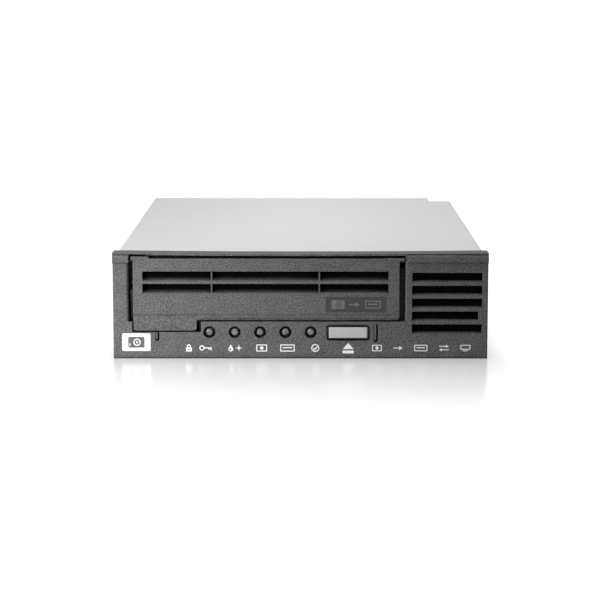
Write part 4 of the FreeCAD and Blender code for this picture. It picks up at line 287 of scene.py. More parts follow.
def makeFinish(name, look):
    # one finish from its values: mould grain or drawn lines, then worn edges that are partly a painted highlight,
    # painted shade in gaps and recesses, dust and bump
    material, tree, shader = blankMaterial(name)
    if "stretch" in look:
        texture = addEffect(tree, "drawnLines", {"Stretch": look["stretch"], "Cloud": look["cloud"]})
    else:
        texture = addEffect(tree, "mouldGrain", {"Grain": look["grain"], "Drift": look["drift"]})
    wearAndHighlight = addEffect(tree, "edgeWearAndHighlight", {"Radius": look["edge"], "Patch": look["patch"], "Amount": look["wearAndHighlight"]})
    dust = addEffect(tree, "dustFilm", {"Amount": look["dust"]})
    paintedShade = addEffect(tree, "paintedCreviceShade", {"Reach": look["reach"], "Amount": look["paintedShade"],
                                             "Plane": look["plane"], "Sink": look["sink"]})
    pattern = look["pattern"](tree) if "pattern" in look else None
    body = rgba(look["colour"])
    height = texture["Height"]
    if pattern:
        body = blendColour(tree, pattern["mask"], body, rgba(look["second"]))
        height = calc(tree, "ADD", calc(tree, "MULTIPLY", height, look["fineShare"]), pattern["height"])
    colour = addEffect(tree, "layeredColour", {
        "Body": body, "Tone": texture["Tone"], "Contrast": look["contrast"],
        "PaintedShade": paintedShade["Mask"], "WearAndHighlight": wearAndHighlight["Mask"], "WornAndLit": rgba(look["wornAndLit"]), "Dust": dust["Mask"]})
    gloss = addEffect(tree, "layeredGloss", {
        "Roughness": look["rough"], "Tone": texture["Tone"], "Contrast": look["roughSpread"],
        "WearAndHighlight": wearAndHighlight["Mask"], "Dust": dust["Mask"]})
    bump = addNode(tree, "ShaderNodeBump", {"Strength": look["bump"], "Distance": look["depth"] * mm,
                                            "Height": height, "Normal": wearAndHighlight["Rounded"]})
    tree.links.new(colour["Colour"], shader.inputs["Base Color"])
    tree.links.new(gloss["Roughness"], shader.inputs["Roughness"])
    tree.links.new(bump.outputs[0], shader.inputs["Normal"])
    shader.inputs["Metallic"].default_value = look["metal"]
    for socket, value in look.get("sockets", {}).items():
        shader.inputs[socket].default_value = value
    return material


# cells in millimetres, bands per millimetre; edges is where a line starts and is full, tint and lift its strength
patternSizes = {
    "traces": {"cell": (2.6, 2.6, 40.0), "repeat": 0.09, "edges": (0.055, 0.075), "tint": 0.55, "lift": 0.8},
    "coil": {"bands": 1.1, "waver": 0.25, "edges": (0.0, 0.35), "tint": 0.8},
    "ribbon": {"bands": 0.32, "edges": (0.45, 0.6), "tint": 0.7},
    "rings": {"bands": 1.6, "waver": 0.6, "tint": 0.3, "lift": 0.5},
    "head": {"bands": 0.35, "edges": (0.8, 0.9), "tint": 0.8, "lift": 0.2},
    "foam": {"cell": (0.8, 0.8, 0.8), "edges": (0.15, 0.5)}}


def objectPlace(tree, divideBy=(1.0, 1.0, 1.0)):
    # where a point is on the piece, in steps of divideBy millimetres each way
    place = addNode(tree, "ShaderNodeTexCoord").outputs["Object"]
    return addNode(tree, "ShaderNodeVectorMath", {0: place, 1: tuple(step * mm for step in divideBy)},
                   operation="DIVIDE").outputs[0]


def waveBands(tree, sizes, direction, detail=2.0):
    return addNode(tree, "ShaderNodeTexWave", {
        "Vector": objectPlace(tree), "Scale": sizes["bands"], "Distortion": sizes.get("waver", 0.0),
        "Detail": detail}, bands_direction=direction).outputs[1]


def copperTraces(tree):
    # solder mask over copper: straight traces in a lattice of cells, with round plated holes
    sizes = patternSizes["traces"]
    cells = addNode(tree, "ShaderNodeTexVoronoi", {"Vector": objectPlace(tree, sizes["cell"]), "Scale": 1.0},
                    distance="CHEBYCHEV", feature="F1").outputs[0]
    traces = spread(tree, calc(tree, "PINGPONG", cells, sizes["repeat"]), *sizes["edges"])
    return {"mask": calc(tree, "MULTIPLY", traces, sizes["tint"]),
            "height": calc(tree, "MULTIPLY", traces, sizes["lift"])}


def coilTurns(tree):
    # enamelled wire laid in turns round the coil
    sizes = patternSizes["coil"]
    turns = waveBands(tree, sizes, "DIAGONAL", 1.0)
    return {"mask": spread(tree, turns, *sizes["edges"], sizes["tint"], 0.0), "height": turns}


def ribbonLines(tree):
    # copper lines under the clear film of a flat cable
    sizes = patternSizes["ribbon"]
    lines = waveBands(tree, sizes, "X")
    return {"mask": spread(tree, lines, *sizes["edges"], 0.0, sizes["tint"]), "height": lines}


def turnedRings(tree):
    # fine rings that a lathe leaves on a cup
    sizes = patternSizes["rings"]
    rings = waveBands(tree, sizes, "Z")
    return {"mask": calc(tree, "MULTIPLY", rings, sizes["tint"]),
            "height": calc(tree, "MULTIPLY", rings, sizes["lift"])}


def headStripes(tree):
    # lapped bands across the face that the tape runs over
    sizes = patternSizes["head"]
    bands = waveBands(tree, sizes, "Z")
    return {"mask": spread(tree, bands, *sizes["edges"], 0.0, sizes["tint"]),
            "height": calc(tree, "MULTIPLY", bands, sizes["lift"])}


def porousFoam(tree):
    # round cells of an open foam
    sizes = patternSizes["foam"]
    cells = addNode(tree, "ShaderNodeTexVoronoi", {"Vector": objectPlace(tree, sizes["cell"]), "Scale": 1.0}).outputs[0]
    return {"mask": spread(tree, cells, *sizes["edges"]), "height": cells}


plastic = {"grain": 0.42, "drift": 5.0, "edge": 0.14, "patch": 2.5, "wearAndHighlight": 0.16, "dust": 0.02, "contrast": 0.2,
           "rough": 0.6, "roughSpread": 0.08, "bump": 0.55, "depth": 0.05, "metal": 0.0, "paintedShade": 0.95, "reach": 6.0,
           "plane": farBehind, "sink": 2.0}
metal = {"stretch": (14.0, 0.3, 0.3), "cloud": 26.0, "edge": 0.2, "patch": 4.0, "wearAndHighlight": 0.35, "dust": 0.04,
         "contrast": 0.06, "rough": 0.36, "roughSpread": 0.07, "bump": 0.25, "depth": 0.02, "metal": 1.0,
         "wornAndLit": (0.8, 0.8, 0.8), "paintedShade": 0.4, "reach": 3.0, "plane": farBehind, "sink": 2.0}

finishLooks = {
    # the front panel: its lighter worn edges are partly wear and partly a painted highlight along them, and behind its
    # face plane it gets painted shade, darker the deeper
    "bezel_plastic": {**plastic, "colour": (0.106, 0.106, 0.108), "wornAndLit": (0.26, 0.26, 0.26), "grain": 0.55,
                      "contrast": 0.8, "wearAndHighlight": 0.55, "edge": 0.26, "bump": 0.8, "depth": 0.1, "dust": 0.0,
                      "plane": facePlane, "sink": 1.2, "paintedShade": 0.99, "sockets": {"Specular IOR Level": 0.15}},
    "lid_metal": {**metal, "colour": (0.64, 0.64, 0.64), "metal": 0.45, "rough": 0.42, "stretch": (20.0, 0.5, 0.5),
                  "cloud": 40.0, "contrast": 0.02, "bump": 0.12},
    "cast_alloy": {**metal, "colour": (0.6, 0.61, 0.62), "grain": 0.5, "rough": 0.5, "stretch": (0.9, 0.9, 0.9),
                   "contrast": 0.09, "bump": 0.5, "depth": 0.05},
    "bright_steel": {**metal, "colour": (0.5, 0.51, 0.52), "stretch": (0.3, 9.0, 0.3), "rough": 0.38},
    "screw_steel": {**metal, "colour": (0.4, 0.4, 0.41), "stretch": (0.6, 0.6, 0.6), "cloud": 3.0, "rough": 0.34,
                    "wearAndHighlight": 0.6, "contrast": 0.14},
    # the eject button also gets painted shade in its gap behind the face plane
    "button_plastic": {**plastic, "colour": (0.46, 0.46, 0.455), "wornAndLit": (0.6, 0.6, 0.59), "contrast": 0.05,
                       "grain": 0.3, "bump": 0.3, "rough": 0.42, "edge": 0.35, "plane": facePlane, "paintedShade": 0.99},
    "badge_white": {**plastic, "colour": (0.86, 0.86, 0.85), "wornAndLit": (0.7, 0.7, 0.69), "contrast": 0.02,
                    "bump": 0.12, "rough": 0.35, "edge": 0.2, "dust": 0.02},
    "chip_black": {**plastic, "colour": (0.025, 0.025, 0.027), "wornAndLit": (0.1, 0.1, 0.1), "grain": 0.25,
                   "contrast": 0.2, "rough": 0.6, "bump": 0.4, "depth": 0.03, "dust": 0.08},
    "inner_plastic": {**plastic, "colour": (0.03, 0.03, 0.032), "wornAndLit": (0.1, 0.1, 0.1), "grain": 0.6,
                      "contrast": 0.15, "rough": 0.55, "dust": 0.05},
    "reel_plastic": {**plastic, "colour": (0.16, 0.17, 0.18), "wornAndLit": (0.3, 0.3, 0.3), "grain": 0.8,
                     "contrast": 0.06, "rough": 0.28, "bump": 0.1,
                     "sockets": {"Coat Weight": 0.2, "Coat Roughness": 0.15}},
    "led_body": {**plastic, "colour": (0.75, 0.75, 0.7), "wornAndLit": (0.8, 0.8, 0.76), "contrast": 0.04, "rough": 0.3,
                 "bump": 0.15},
    "board_green": {**plastic, "colour": (0.03, 0.16, 0.08), "second": (0.06, 0.28, 0.13), "wornAndLit": (0.5, 0.42, 0.2),
                    "pattern": copperTraces, "fineShare": 0.15, "grain": 0.5, "contrast": 0.1, "rough": 0.32,
                    "bump": 0.5, "depth": 0.05, "dust": 0.1},
    "coil_copper": {**metal, "colour": (0.6, 0.3, 0.14), "second": (0.12, 0.04, 0.02), "pattern": coilTurns,
                    "fineShare": 0.1, "stretch": (1.2, 1.2, 0.3), "rough": 0.3, "bump": 0.7, "depth": 0.15,
                    "wornAndLit": (0.75, 0.45, 0.25)},
    "ribbon_tan": {**plastic, "colour": (0.5, 0.3, 0.1), "second": (0.74, 0.5, 0.24), "pattern": ribbonLines,
                   "fineShare": 0.1, "grain": 1.0, "contrast": 0.06, "rough": 0.25, "bump": 0.4, "depth": 0.05,
                   "wornAndLit": (0.7, 0.5, 0.3)},
    "magnet_cup": {**metal, "colour": (0.5, 0.5, 0.52), "second": (0.4, 0.4, 0.42), "pattern": turnedRings,
                   "fineShare": 0.3, "stretch": (2.0, 2.0, 0.3), "rough": 0.3, "bump": 0.3},
    "head_ceramic": {**plastic, "colour": (0.06, 0.06, 0.07), "second": (0.3, 0.28, 0.22), "pattern": headStripes,
                     "fineShare": 0.2, "grain": 0.2, "contrast": 0.05, "rough": 0.15, "bump": 0.2,
                     "wornAndLit": (0.2, 0.2, 0.2), "sockets": {"Coat Weight": 0.5, "Coat Roughness": 0.08}},
}
finishes = {slot: makeFinish(slot.replace("_", " ").title().replace(" ", ""), look)
            for slot, look in finishLooks.items()}

lensLook = {"colour": (0.36, 0.36, 0.31), "swirl": (0.11, 0.11, 0.09), "ring": 0.9, "swirlEdges": (0.38, 0.62),
            "twist": 1.6, "rough": 0.16, "roughSpread": 0.05, "clear": 0.35, "refraction": 1.49, "bump": 0.35,
            "depth": 0.12, "edge": 0.35, "patch": 1.0, "wearAndHighlight": 0.1, "grain": 0.3, "drift": 1.2}


def makeLensFinish(look):
    # milky light pipe: a cloudy core with moulding swirls under a clear dome
    material, tree, shader = blankMaterial("LensClear")
    swirl = addNode(tree, "ShaderNodeTexNoise", {"Vector": objectPlace(tree), "Scale": look["ring"],
                                                 "Detail": 3.0, "Distortion": look["twist"]}).outputs[0]
    wearAndHighlight = addEffect(tree, "edgeWearAndHighlight", {"Radius": look["edge"], "Patch": look["patch"], "Amount": look["wearAndHighlight"]})
    grain = addEffect(tree, "mouldGrain", {"Grain": look["grain"], "Drift": look["drift"]})
    colour = blendColour(tree, spread(tree, swirl, *look["swirlEdges"]), rgba(look["swirl"]), rgba(look["colour"]))
    rough = addEffect(tree, "layeredGloss", {"Roughness": look["rough"], "Tone": grain["Tone"],
                                             "Contrast": look["roughSpread"], "WearAndHighlight": wearAndHighlight["Mask"]})
    bump = addNode(tree, "ShaderNodeBump", {"Strength": look["bump"], "Distance": look["depth"] * mm,
                                            "Height": swirl, "Normal": wearAndHighlight["Rounded"]})
    tree.links.new(colour, shader.inputs["Base Color"])
    tree.links.new(rough["Roughness"], shader.inputs["Roughness"])
    tree.links.new(bump.outputs[0], shader.inputs["Normal"])
    shader.inputs["Transmission Weight"].default_value = look["clear"]
    shader.inputs["IOR"].default_value = look["refraction"]
    return material


finishes["lens_clear"] = makeLensFinish(lensLook)

# the hinge pins are near-black, unlike the other bright steel: painted shade where they show in the gaps beside the
# door
shadeBlackLook = {**metal, "colour": (0.02, 0.02, 0.02), "wornAndLit": (0.1, 0.1, 0.1), "metal": 0.4,
             "stretch": (0.3, 3.0, 3.0), "rough": 0.6, "dust": 0.0, "paintedShade": 0.9, "reach": 6.0}
shadeBlackPins = makeFinish("PinsPaintedShade", shadeBlackLook)
for part in frame["record"]["subparts"]:
    piece = nodes[part["node"]]
    for slot in piece.material_slots:
        slot.material = shadeBlackPins if part["node"] == "hinge_pins" else finishes[part["material_slot"]]
print("finishes:", len(finishes))


def roundLoop(x, z, radius, start=0.0, end=360.0, steps=24):
    # a circle, or an arc between two angles in degrees
    closed = end - start >= 360.0
    count = steps if closed else steps + 1
    return [(x + radius * math.cos(math.radians(start + (end - start) * i / steps)),
             z + radius * math.sin(math.radians(start + (end - start) * i / steps))) for i in range(count)]


def boxLoop(x, z, width, height, corner=0.0):
    # a rectangle about its middle, with round corners where corner is given
    if not corner:
        return [(x - width / 2, z - height / 2), (x + width / 2, z - height / 2),
                (x + width / 2, z + height / 2), (x - width / 2, z + height / 2)]
    points = []
    for turn, sideX, sideZ in ((0, 1, 1), (90, -1, 1), (180, -1, -1), (270, 1, -1)):
        points += roundLoop(x + sideX * (width / 2 - corner), z + sideZ * (height / 2 - corner), corner,
                            turn, turn + 90, 5)
    return points


def lineLoop(points, width, sharpest=0.35):
    # a bent line of even width, as a closed loop: out along one side and back along the other;
    # sharpest keeps a sharp bend from growing a spike
    def offsets(side):
        made = []
        for i, point in enumerate(points):
            before = Vector(points[max(i - 1, 0)])
            after = Vector(points[min(i + 1, len(points) - 1)])
            here = Vector(point)
            along = [(b - a).normalized() for a, b in ((before, here), (here, after)) if (b - a).length > 0]
            middle = sum(along, Vector((0.0, 0.0))).normalized()
            across = Vector((-middle.y, middle.x))
            stretch = 1.0 / max(abs(across.dot(Vector((-along[0].y, along[0].x)))), sharpest)
            made.append(tuple(here + across * (side * stretch * width / 2)))
        return made
    return offsets(1) + offsets(-1)[::-1]


def frameLoops(x, z, width, height, line, corner):
    return [boxLoop(x, z, width, height, corner), boxLoop(x, z, width - 2 * line, height - 2 * line,
                                                          max(corner - line, 0.0))]


def ringLoops(x, z, radius, line):
    return [roundLoop(x, z, radius), roundLoop(x, z, radius - line)]


# every figure takes its middle, its height and its line's width, and its proportions are shares of the height
def lockFigure(x, z, size, line):
    # padlock: solid body with a keyhole, and its shackle
    bodyHeight = 0.56 * size
    body = [boxLoop(x, z - size / 2 + bodyHeight / 2, 0.8 * size, bodyHeight, 0.1 * size),
            roundLoop(x, z - size / 2 + bodyHeight * 0.5, 0.11 * size)]
    shoulder = z - size / 2 + bodyHeight
    outer, reach = 0.28 * size, 0.16 * size
    bow = roundLoop(x, shoulder + reach, outer, 0, 180, 12)
    inside = roundLoop(x, shoulder + reach, outer - line, 180, 0, 12)
    shackle = [(x + outer, shoulder), *bow, (x - outer, shoulder), (x - outer + line, shoulder), *inside,
               (x + outer - line, shoulder)]
    return [*body, shackle]


def keyFigure(x, z, size, line):
    # a ring for a bow, a shank and two teeth
    bow = 0.36 * size
    left = x - 0.85 * size
    return [roundLoop(left + bow, z, bow), roundLoop(left + bow, z, bow - line),
            boxLoop(left + 2 * bow + 0.5 * size, z, size, line),
            boxLoop(left + 2 * bow + 0.6 * size, z - 0.17 * size, line, 0.22 * size),
            boxLoop(left + 2 * bow + 0.88 * size, z - 0.2 * size, line, 0.28 * size)]


def dropFigure(x, z, size, line):
    # a drop of cleaning fluid with a glint
    radius = 0.33 * size
    low = z - size / 2 + radius
    outline = roundLoop(x, low, radius, 150, 390, 18)
    return [[*outline, (x, z + size / 2)], roundLoop(x - 0.08 * size, low - 0.04 * size, 0.12 * size)]


def starFigure(x, z, size, line):
    # four points with hollow sides
    waist = 0.13 * size
    points = []
    for quarter in range(4):
        turn = math.radians(90 * quarter)
        between = math.radians(90 * quarter + 45)
        points += [(x + size / 2 * math.cos(turn), z + size / 2 * math.sin(turn)),
                   (x + waist * math.cos(between), z + waist * math.sin(between))]
    return [points]


def cartridgeFigure(x, z, size, line):
    # a cartridge seen from above: a case and its one reel
    return [*frameLoops(x, z, 1.5 * size, size, line, 0.12 * size), roundLoop(x, z, 0.24 * size)]


def solidCartridgeFigure(x, z, size, line):
    # the same case filled, with the reel's rim and hub left open, and a short thumb recess at one end
    return [boxLoop(x, z, 1.5 * size, size, 0.14 * size), roundLoop(x + 0.06 * size, z, 0.34 * size),
            roundLoop(x + 0.06 * size, z, 0.34 * size - 0.7 * line), roundLoop(x + 0.06 * size, z, 0.1 * size),
            boxLoop(x - 0.6 * size, z - 0.22 * size, 0.08 * size, 0.24 * size)]


def driveFigure(x, z, size, line):
    # a drive seen from the front: a case and its slot
    return [*frameLoops(x, z, 2.0 * size, size, line, 0.08 * size),
            boxLoop(x, z + 0.04 * size, 1.3 * size, 1.1 * line)]


def tickFigure(x, z, size, line):
    # a tick in a ring
    return [*ringLoops(x, z, size / 2, line),
            lineLoop([(x - 0.24 * size, z), (x - 0.06 * size, z - 0.19 * size), (x + 0.26 * size, z + 0.2 * size)],
                     line * 1.1)]


def arrowFigure(x, z, size, line):
    # an arrow to the right
    half = 0.7 * size
    return [[(x - half, z - line / 2), (x + 0.15 * size, z - line / 2), (x + 0.15 * size, z - 0.32 * size),
             (x + half, z), (x + 0.15 * size, z + 0.32 * size), (x + 0.15 * size, z + line / 2),
             (x - half, z + line / 2)]]


def exchangeFigure(x, z, size, line):
    # two arrows, there and back
    def oneWay(lift, way):
        points = [(-0.75, -0.07), (0.3, -0.07), (0.3, -0.25), (0.75, 0.0), (0.3, 0.25), (0.3, 0.07), (-0.75, 0.07)]
        return [(x + way * across * size, z + lift + way * up * size) for across, up in points]
    return [oneWay(0.27 * size, 1), oneWay(-0.27 * size, -1)]


def screenFigure(x, z, size, line):
    # a screen on its foot
    return [*frameLoops(x, z + 0.12 * size, 1.5 * size, 0.76 * size, line, 0.08 * size),
            boxLoop(x, z - 0.43 * size, 0.8 * size, 0.9 * line)]


def ejectFigure(x, z, size, line):
    # triangle over a bar
    return [[(x - 0.5 * size, z - 0.1 * size), (x + 0.5 * size, z - 0.1 * size), (x, z + 0.48 * size)],
            boxLoop(x, z - 0.37 * size, 1.04 * size, 0.27 * size)]


def addMark(name, loops, planeY, rise, material, body):
    # fills the loops as one flat sheet with holes that stands rise millimetres off the plane at planeY metres
    curve = bpy.data.curves.new(name + "Outline", "CURVE")
    curve.dimensions = "2D"
    curve.fill_mode = "BOTH"
    curve.extrude = rise / 2 * mm
    for loop in loops:
        spline = curve.splines.new("POLY")
        spline.points.add(len(loop) - 1)
        for point, (across, up) in zip(spline.points, loop):
            point.co = (across * mm, up * mm, 0.0, 1.0)
        spline.use_cyclic_u = True
    drawing = bpy.data.objects.new(name + "Drawing", curve)
    bpy.context.scene.collection.objects.link(drawing)
    bpy.context.view_layer.update()
    mesh = bpy.data.meshes.new_from_object(drawing.evaluated_get(bpy.context.evaluated_depsgraph_get()))
    bpy.data.objects.remove(drawing)
    bpy.data.curves.remove(curve)
    mesh.transform(Matrix.Translation((0.0, planeY - rise / 2 * mm, 0.0)) @ Matrix.Rotation(math.pi / 2, 4, "X"))
    mesh.name = name
    mesh.materials.clear()
    mesh.materials.append(material)
    mark = bpy.data.objects.new(name, mesh)
    bpy.context.scene.collection.objects.link(mark)
    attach(mark, body)


printWhite = makeFinish("PrintWhite", {**finishLooks["badge_white"], "grain": 0.3, "contrast": 0.05, "bump": 0.2,
                                       "rough": 0.5, "edge": 0.04, "wearAndHighlight": 0.0})
printGrey = makeFinish("PrintGrey", {**finishLooks["badge_white"], "colour": (0.1, 0.1, 0.102), "contrast": 0.06,
                                     "rough": 0.45, "edge": 0.04, "wearAndHighlight": 0.0})
badgeLow, badgeHigh = (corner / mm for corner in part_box("front_badge"))
buttonLow, buttonHigh = (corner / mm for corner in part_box("eject_button"))
lensBoxes = [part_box(f"indicator_lens_{n}") for n in range(1, 6)]
lensMiddles = [(low.x + high.x) / 2 / mm for low, high in lensBoxes]

# the marks' row is centred at rowHeight over the panel's foot
printSizes = {"rise": 0.05, "rowHeight": 4.3, "size": 2.9, "line": 0.42, "ejectSize": 4.3}
row, size, line = panelLow.z + printSizes["rowHeight"], printSizes["size"], printSizes["line"]


def addPrint(name, loops):
    addMark(name, loops, faceY, printSizes["rise"], printWhite, "chassis")


# what stands under each light: the figure, how far right of the light's middle, and its size against the others
lightMarks = {
    "mark_locked": ((lockFigure, -8.2, 1.0), (keyFigure, -1.6, 1.0)),
    "mark_clean": ((dropFigure, -1.6, 1.0), (starFigure, 1.6, 1.0)),
    "mark_cartridge": ((cartridgeFigure, 0.6, 1.0),),
    "mark_drive": ((driveFigure, 0.8, 1.0),),
    "mark_ready": ((tickFigure, 1.8, 1.1),)}
for middle, (name, figures) in zip(lensMiddles, lightMarks.items()):
    addPrint(name, [loop for figure, shift, scale in figures
                    for loop in figure(middle + shift, row, size * scale, line)])
addPrint("mark_eject", ejectFigure((buttonLow.x + buttonHigh.x) / 2, row, printSizes["ejectSize"], line))

# a plain row of signs at the right: from cartridge to drive, and to and from a screen; widths are shares of the size
rowSigns = {"left": 28.4, "gap": 4.6, "size": 2.6, "lineShare": 0.85}
signWidths = {"sign_cartridge": (cartridgeFigure, 1.5), "sign_arrow": (arrowFigure, 1.4),
              "sign_drive": (driveFigure, 2.0), "sign_exchange": (exchangeFigure, 1.5),
              "sign_screen": (screenFigure, 1.5)}
signX = rowSigns["left"]
for name, (figure, width) in signWidths.items():
    signX += width * rowSigns["size"] / 2
    addPrint(name, figure(signX, row, rowSigns["size"], line * rowSigns["lineShare"]))
    signX += width * rowSigns["size"] / 2 + rowSigns["gap"]

# the label plate carries a plain cartridge in grey
badgeMark = {"size": 4.3, "line": 0.6, "rise": 0.04}
badgeLoops = solidCartridgeFigure((badgeLow.x + badgeHigh.x) / 2, (badgeLow.z + badgeHigh.z) / 2,
                                  badgeMark["size"], badgeMark["line"])
addMark("badge_figure", badgeLoops, badgeLow.y * mm, badgeMark["rise"], printGrey, "chassis")

# the door's sunk field is lined with a smooth dark foil, and a cartridge, an arrow and a drive stand on it in relief;
# each figure has its place right of the field's middle and its height
emblem = {"left": 10.1, "right": 34.1, "low": 18.6, "high": 24.8, "sunk": 0.3, "margin": 0.05, "foil": 0.08,
          "rise": 0.18, "line": 0.5,
          "figures": ((solidCartridgeFigure, -7.2, 3.5), (arrowFigure, -0.8, 3.15), (driveFigure, 6.6, 3.15))}
foilFinish = makeFinish("EmblemFoil", {**plastic, "colour": (0.022, 0.022, 0.023), "wornAndLit": (0.1, 0.1, 0.1), "wearAndHighlight": 0.0,
                                       "edge": 0.05, "rough": 0.45, "contrast": 0.25, "grain": 0.7, "paintedShade": 0.3})
reliefFinish = makeFinish("EmblemRelief", {**plastic, "colour": (0.12, 0.12, 0.122), "wornAndLit": (0.3, 0.3, 0.3),
                                           "wearAndHighlight": 0.5, "edge": 0.08, "rough": 0.4, "contrast": 0.3, "paintedShade": 0.3})
emblemX, emblemZ = (emblem["left"] + emblem["right"]) / 2, (emblem["low"] + emblem["high"]) / 2
emblemWide, emblemTall = emblem["right"] - emblem["left"], emblem["high"] - emblem["low"]
sunkY = faceY + emblem["sunk"] * mm
addMark("emblem_foil", [boxLoop(emblemX, emblemZ, emblemWide - 2 * emblem["margin"],
                                emblemTall - 2 * emblem["margin"])],
        sunkY, emblem["foil"], foilFinish, "door")
addMark("emblem_relief", [loop for figure, shift, tall in emblem["figures"]
                          for loop in figure(emblemX + shift, emblemZ, tall, emblem["line"])],
        sunkY - emblem["foil"] * mm, emblem["rise"], reliefFinish, "door")
print("marks drawn")

# open-cell foam behind the grille, and a thin gauze of the same kind behind the door's vents; both are near-black,
# painted shade that fills the openings where shadow falls
shadeFilterPads = {
    "grille_shade_filter": {"left": 43.2, "right": 71.9, "low": 9.6, "high": 36.2, "thickness": 1.8, "behindFace": 2.65,
                      "cells": 24, "dent": 0.22, "body": "chassis"},
    "vent_shade_filter": {"left": -63.3, "right": 35.8, "low": 25.2, "high": 35.6, "thickness": 0.6, "behindFace": 2.85,
                    "cells": 30, "dent": 0.06, "body": "door"}}
# the waves of an uneven sheet: waves across and up it, waves along its slant, and how wide its thin rim is
foamWaves = {"across": 19.0, "up": 16.0, "slant": (7.0, 11.0), "share": 0.25, "rim": 0.05}
# near-black and almost without reflection, so that the pads stand in for the shade inside the openings: painted shade
shadeFoamLook = {**plastic, "colour": (0.0015, 0.0015, 0.0015), "second": (0.003, 0.003, 0.003),
            "wornAndLit": (0.02, 0.02, 0.02), "wearAndHighlight": 0.0, "pattern": porousFoam, "fineShare": 0.2, "rough": 0.95,
            "roughSpread": 0.03, "bump": 0.8, "depth": 0.3, "contrast": 0.2, "dust": 0.0,
            "sockets": {"Specular IOR Level": 0.01}}
shadeFoamFinish = makeFinish("ShadeFoam", shadeFoamLook)


def addShadeFilterPad(name, pad):
    # a sheet that is gently uneven, with rounded rims
    wide, tall = pad["right"] - pad["left"], pad["high"] - pad["low"]
    mesh = bpy.data.meshes.new(name)
    form = bmesh.new()
    bmesh.ops.create_grid(form, x_segments=pad["cells"], y_segments=pad["cells"], size=0.5)
    front = faceY + pad["behindFace"] * mm
    slantAcross, slantUp = foamWaves["slant"]
    for corner in form.verts:
        across, up = corner.co.x, corner.co.y
        wave = (math.sin(across * foamWaves["across"]) * math.cos(up * foamWaves["up"])
                + math.sin(across * slantAcross + up * slantUp))
        inward = min(0.5 - abs(across), 0.5 - abs(up), foamWaves["rim"]) / foamWaves["rim"]
        sink = (0.5 + foamWaves["share"] * wave) * pad["dent"] + (1.0 - inward) * pad["dent"]
        corner.co = Vector((pad["left"] + (across + 0.5) * wide, 0.0, pad["low"] + (up + 0.5) * tall)) * mm
        corner.co.y = front + max(sink, 0.0) * mm
    form.to_mesh(mesh)
    form.free()
    piece = bpy.data.objects.new(name, mesh)
    bpy.context.scene.collection.objects.link(piece)
    mesh.materials.append(shadeFoamFinish)
    depth = piece.modifiers.new("thickness", "SOLIDIFY")
    depth.thickness = (pad["thickness"] - 2 * pad["dent"]) * mm
    depth.offset = 1.0
    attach(piece, pad["body"])


for name, pad in shadeFilterPads.items():
    addShadeFilterPad(name, pad)
print("filters:", len(shadeFilterPads))

# floorSize in metres; the glow grows from glowNear at the foot to glowFar at glowReach, and faster to the sides, so the
# table is painted darker close to the drive: painted shade round its foot, over the real shadow and mirror image
studio = {"floorSize": 30.0, "floorCells": 8, "floorColour": (0.45, 0.45, 0.45), "floorRough": 0.2,
          "glowNear": 0.31, "glowFar": 0.84, "glowReach": 95.0, "sideways": 4.0,
          "horizonLight": 0.0, "zenithLight": 0.32, "worldSeen": 1.0}


def seenDirectly(tree):
    # 1 for what the camera sees, also as a mirror image or through clear plastic
    path = addNode(tree, "ShaderNodeLightPath").outputs
    return calc(tree, "ADD", calc(tree, "ADD", path["Is Camera Ray"], path["Is Glossy Ray"]),
                path["Is Transmission Ray"], clamp=True)


def addFloor():
    bpy.ops.mesh.primitive_grid_add(x_subdivisions=studio["floorCells"], y_subdivisions=studio["floorCells"],
                                    size=studio["floorSize"], location=(0.0, 0.0, cadBox[0].z))
    floor = bpy.context.object
    floor.name = "studio_floor"
    material, tree, shader = blankMaterial("GlossyTable")
    shader.inputs["Base Color"].default_value = rgba(studio["floorColour"])
    shader.inputs["Roughness"].default_value = studio["floorRough"]
    # what the camera or a reflection sees of the table is lifted towards white, with the shadow kept
    seen = seenDirectly(tree)
    # how far a point of the table lies outside the drive's foot, so that the mirror image and the painted shade round
    # the foot fade out with distance
    place = addNode(tree, "ShaderNodeTexCoord").outputs["Object"]
    aside = addNode(tree, "ShaderNodeVectorMath", {0: place}, operation="ABSOLUTE").outputs[0]
    foot = (cadBox[1].x, cadBox[1].y, 1.0)
    past = addNode(tree, "ShaderNodeVectorMath", {0: aside, 1: foot}, operation="SUBTRACT").outputs[0]
    outside = addNode(tree, "ShaderNodeVectorMath", {0: past, 1: (0.0, 0.0, 0.0)}, operation="MAXIMUM").outputs[0]
    weighed = addNode(tree, "ShaderNodeVectorMath", {0: outside, 1: (studio["sideways"], 1.0, 1.0)},
                      operation="MULTIPLY").outputs[0]
    distance = addNode(tree, "ShaderNodeVectorMath", {0: weighed}, operation="LENGTH").outputs["Value"]
    level = spread(tree, distance, 0.0, studio["glowReach"] * mm, studio["glowNear"], studio["glowFar"])
    glow = addNode(tree, "ShaderNodeEmission", {"Strength": calc(tree, "MULTIPLY", seen, level)})
    both = addNode(tree, "ShaderNodeAddShader", {0: shader.outputs[0], 1: glow.outputs[0]})
    tree.links.new(both.outputs[0], tree.nodes["Material Output"].inputs["Surface"])
    floor.data.materials.append(material)


def addWorld():
    world = bpy.data.worlds.new("Studio")
    bpy.context.scene.world = world
    world.use_nodes = True
    tree = world.node_tree
    seen = seenDirectly(tree)
    upward = addNode(tree, "ShaderNodeSeparateXYZ", {0: addNode(tree, "ShaderNodeTexCoord").outputs["Generated"]})
    sky = spread(tree, upward.outputs["Z"], 0.0, 1.0, studio["horizonLight"], studio["zenithLight"])
    # a plain mix keeps its values at sockets 2 and 3
    level = addNode(tree, "ShaderNodeMix", {0: seen, 2: sky, 3: studio["worldSeen"]}).outputs[0]
    tree.links.new(level, tree.nodes["Background"].inputs["Strength"])
    tree.nodes["Background"].inputs["Color"].default_value = rgba((1.0, 1.0, 1.0))


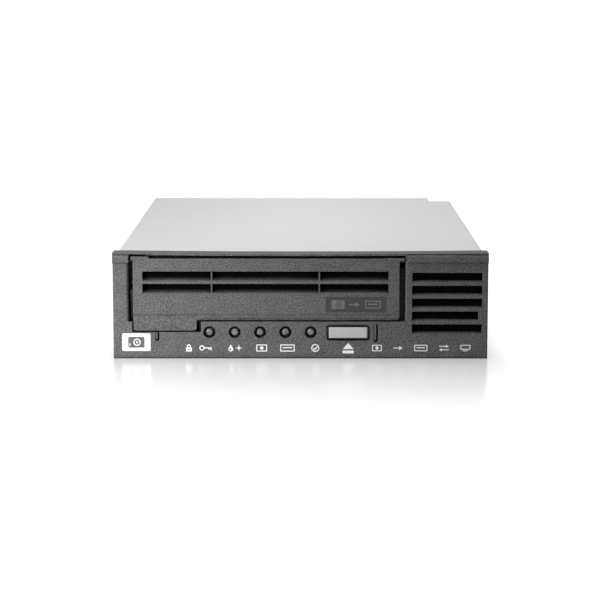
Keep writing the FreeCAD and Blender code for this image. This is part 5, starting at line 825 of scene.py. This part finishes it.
# place and target in millimetres, size in millimetres, power in watts
lamps = {
    "key": {"place": (-230.0, -300.0, 105.0), "target": (-90.0, -105.0, 22.0), "size": (150.0, 90.0), "power": 0.145,
            "spreadDegrees": 60.0},
    "front": {"place": (40.0, -330.0, 700.0), "target": (20.0, -105.0, 20.0), "size": (400.0, 250.0), "power": 0.7,
              "spreadDegrees": 120.0},
    "side": {"place": (-560.0, -250.0, 26.0), "target": (20.0, -105.0, 22.0), "size": (60.0, 30.0), "power": 0.05,
             "spreadDegrees": 40.0},
    "lid": {"place": (0.0, 100.0, 480.0), "target": (0.0, 50.0, 40.0), "size": (90.0, 300.0), "power": 0.05,
            "spreadDegrees": 30.0},
}


def addLamps():
    for name, lamp in lamps.items():
        data = bpy.data.lights.new(name + "Lamp", "AREA")
        data.shape = "RECTANGLE"
        data.size, data.size_y = (side * mm for side in lamp["size"])
        data.energy = lamp["power"]
        data.spread = math.radians(lamp["spreadDegrees"])
        made = bpy.data.objects.new(name + "Lamp", data)
        made.location = Vector(lamp["place"]) * mm
        made.rotation_euler = (Vector(lamp["target"]) - Vector(lamp["place"])).to_track_quat("-Z", "Y").to_euler()
        bpy.context.scene.collection.objects.link(made)


# the camera stands in front, a little over the lid, and looks down
cameraSettings = {"aside": 1.79, "ahead": 766.57, "above": 147.21, "tiltDegrees": 9.151, "turnDegrees": 0.145,
                  "lens": 118.12, "film": 36.0, "nearestMetres": 0.01, "farthestMetres": 100.0}


def addCamera():
    data = bpy.data.cameras.new("ViewCamera")
    data.sensor_width = cameraSettings["film"]
    data.lens = cameraSettings["lens"]
    data.clip_start, data.clip_end = cameraSettings["nearestMetres"], cameraSettings["farthestMetres"]
    camera = bpy.data.objects.new("ViewCamera", data)
    camera.location = (cameraSettings["aside"] * mm, cadBox[0].y - cameraSettings["ahead"] * mm,
                       cadBox[0].z + cameraSettings["above"] * mm)
    camera.rotation_euler = (math.pi / 2 - math.radians(cameraSettings["tiltDegrees"]), 0.0,
                             math.radians(cameraSettings["turnDegrees"]))
    bpy.context.scene.collection.objects.link(camera)
    bpy.context.scene.camera = camera


addFloor()
addWorld()
addLamps()
addCamera()
bpy.context.scene.view_settings.view_transform = "Standard"
print("studio ready")
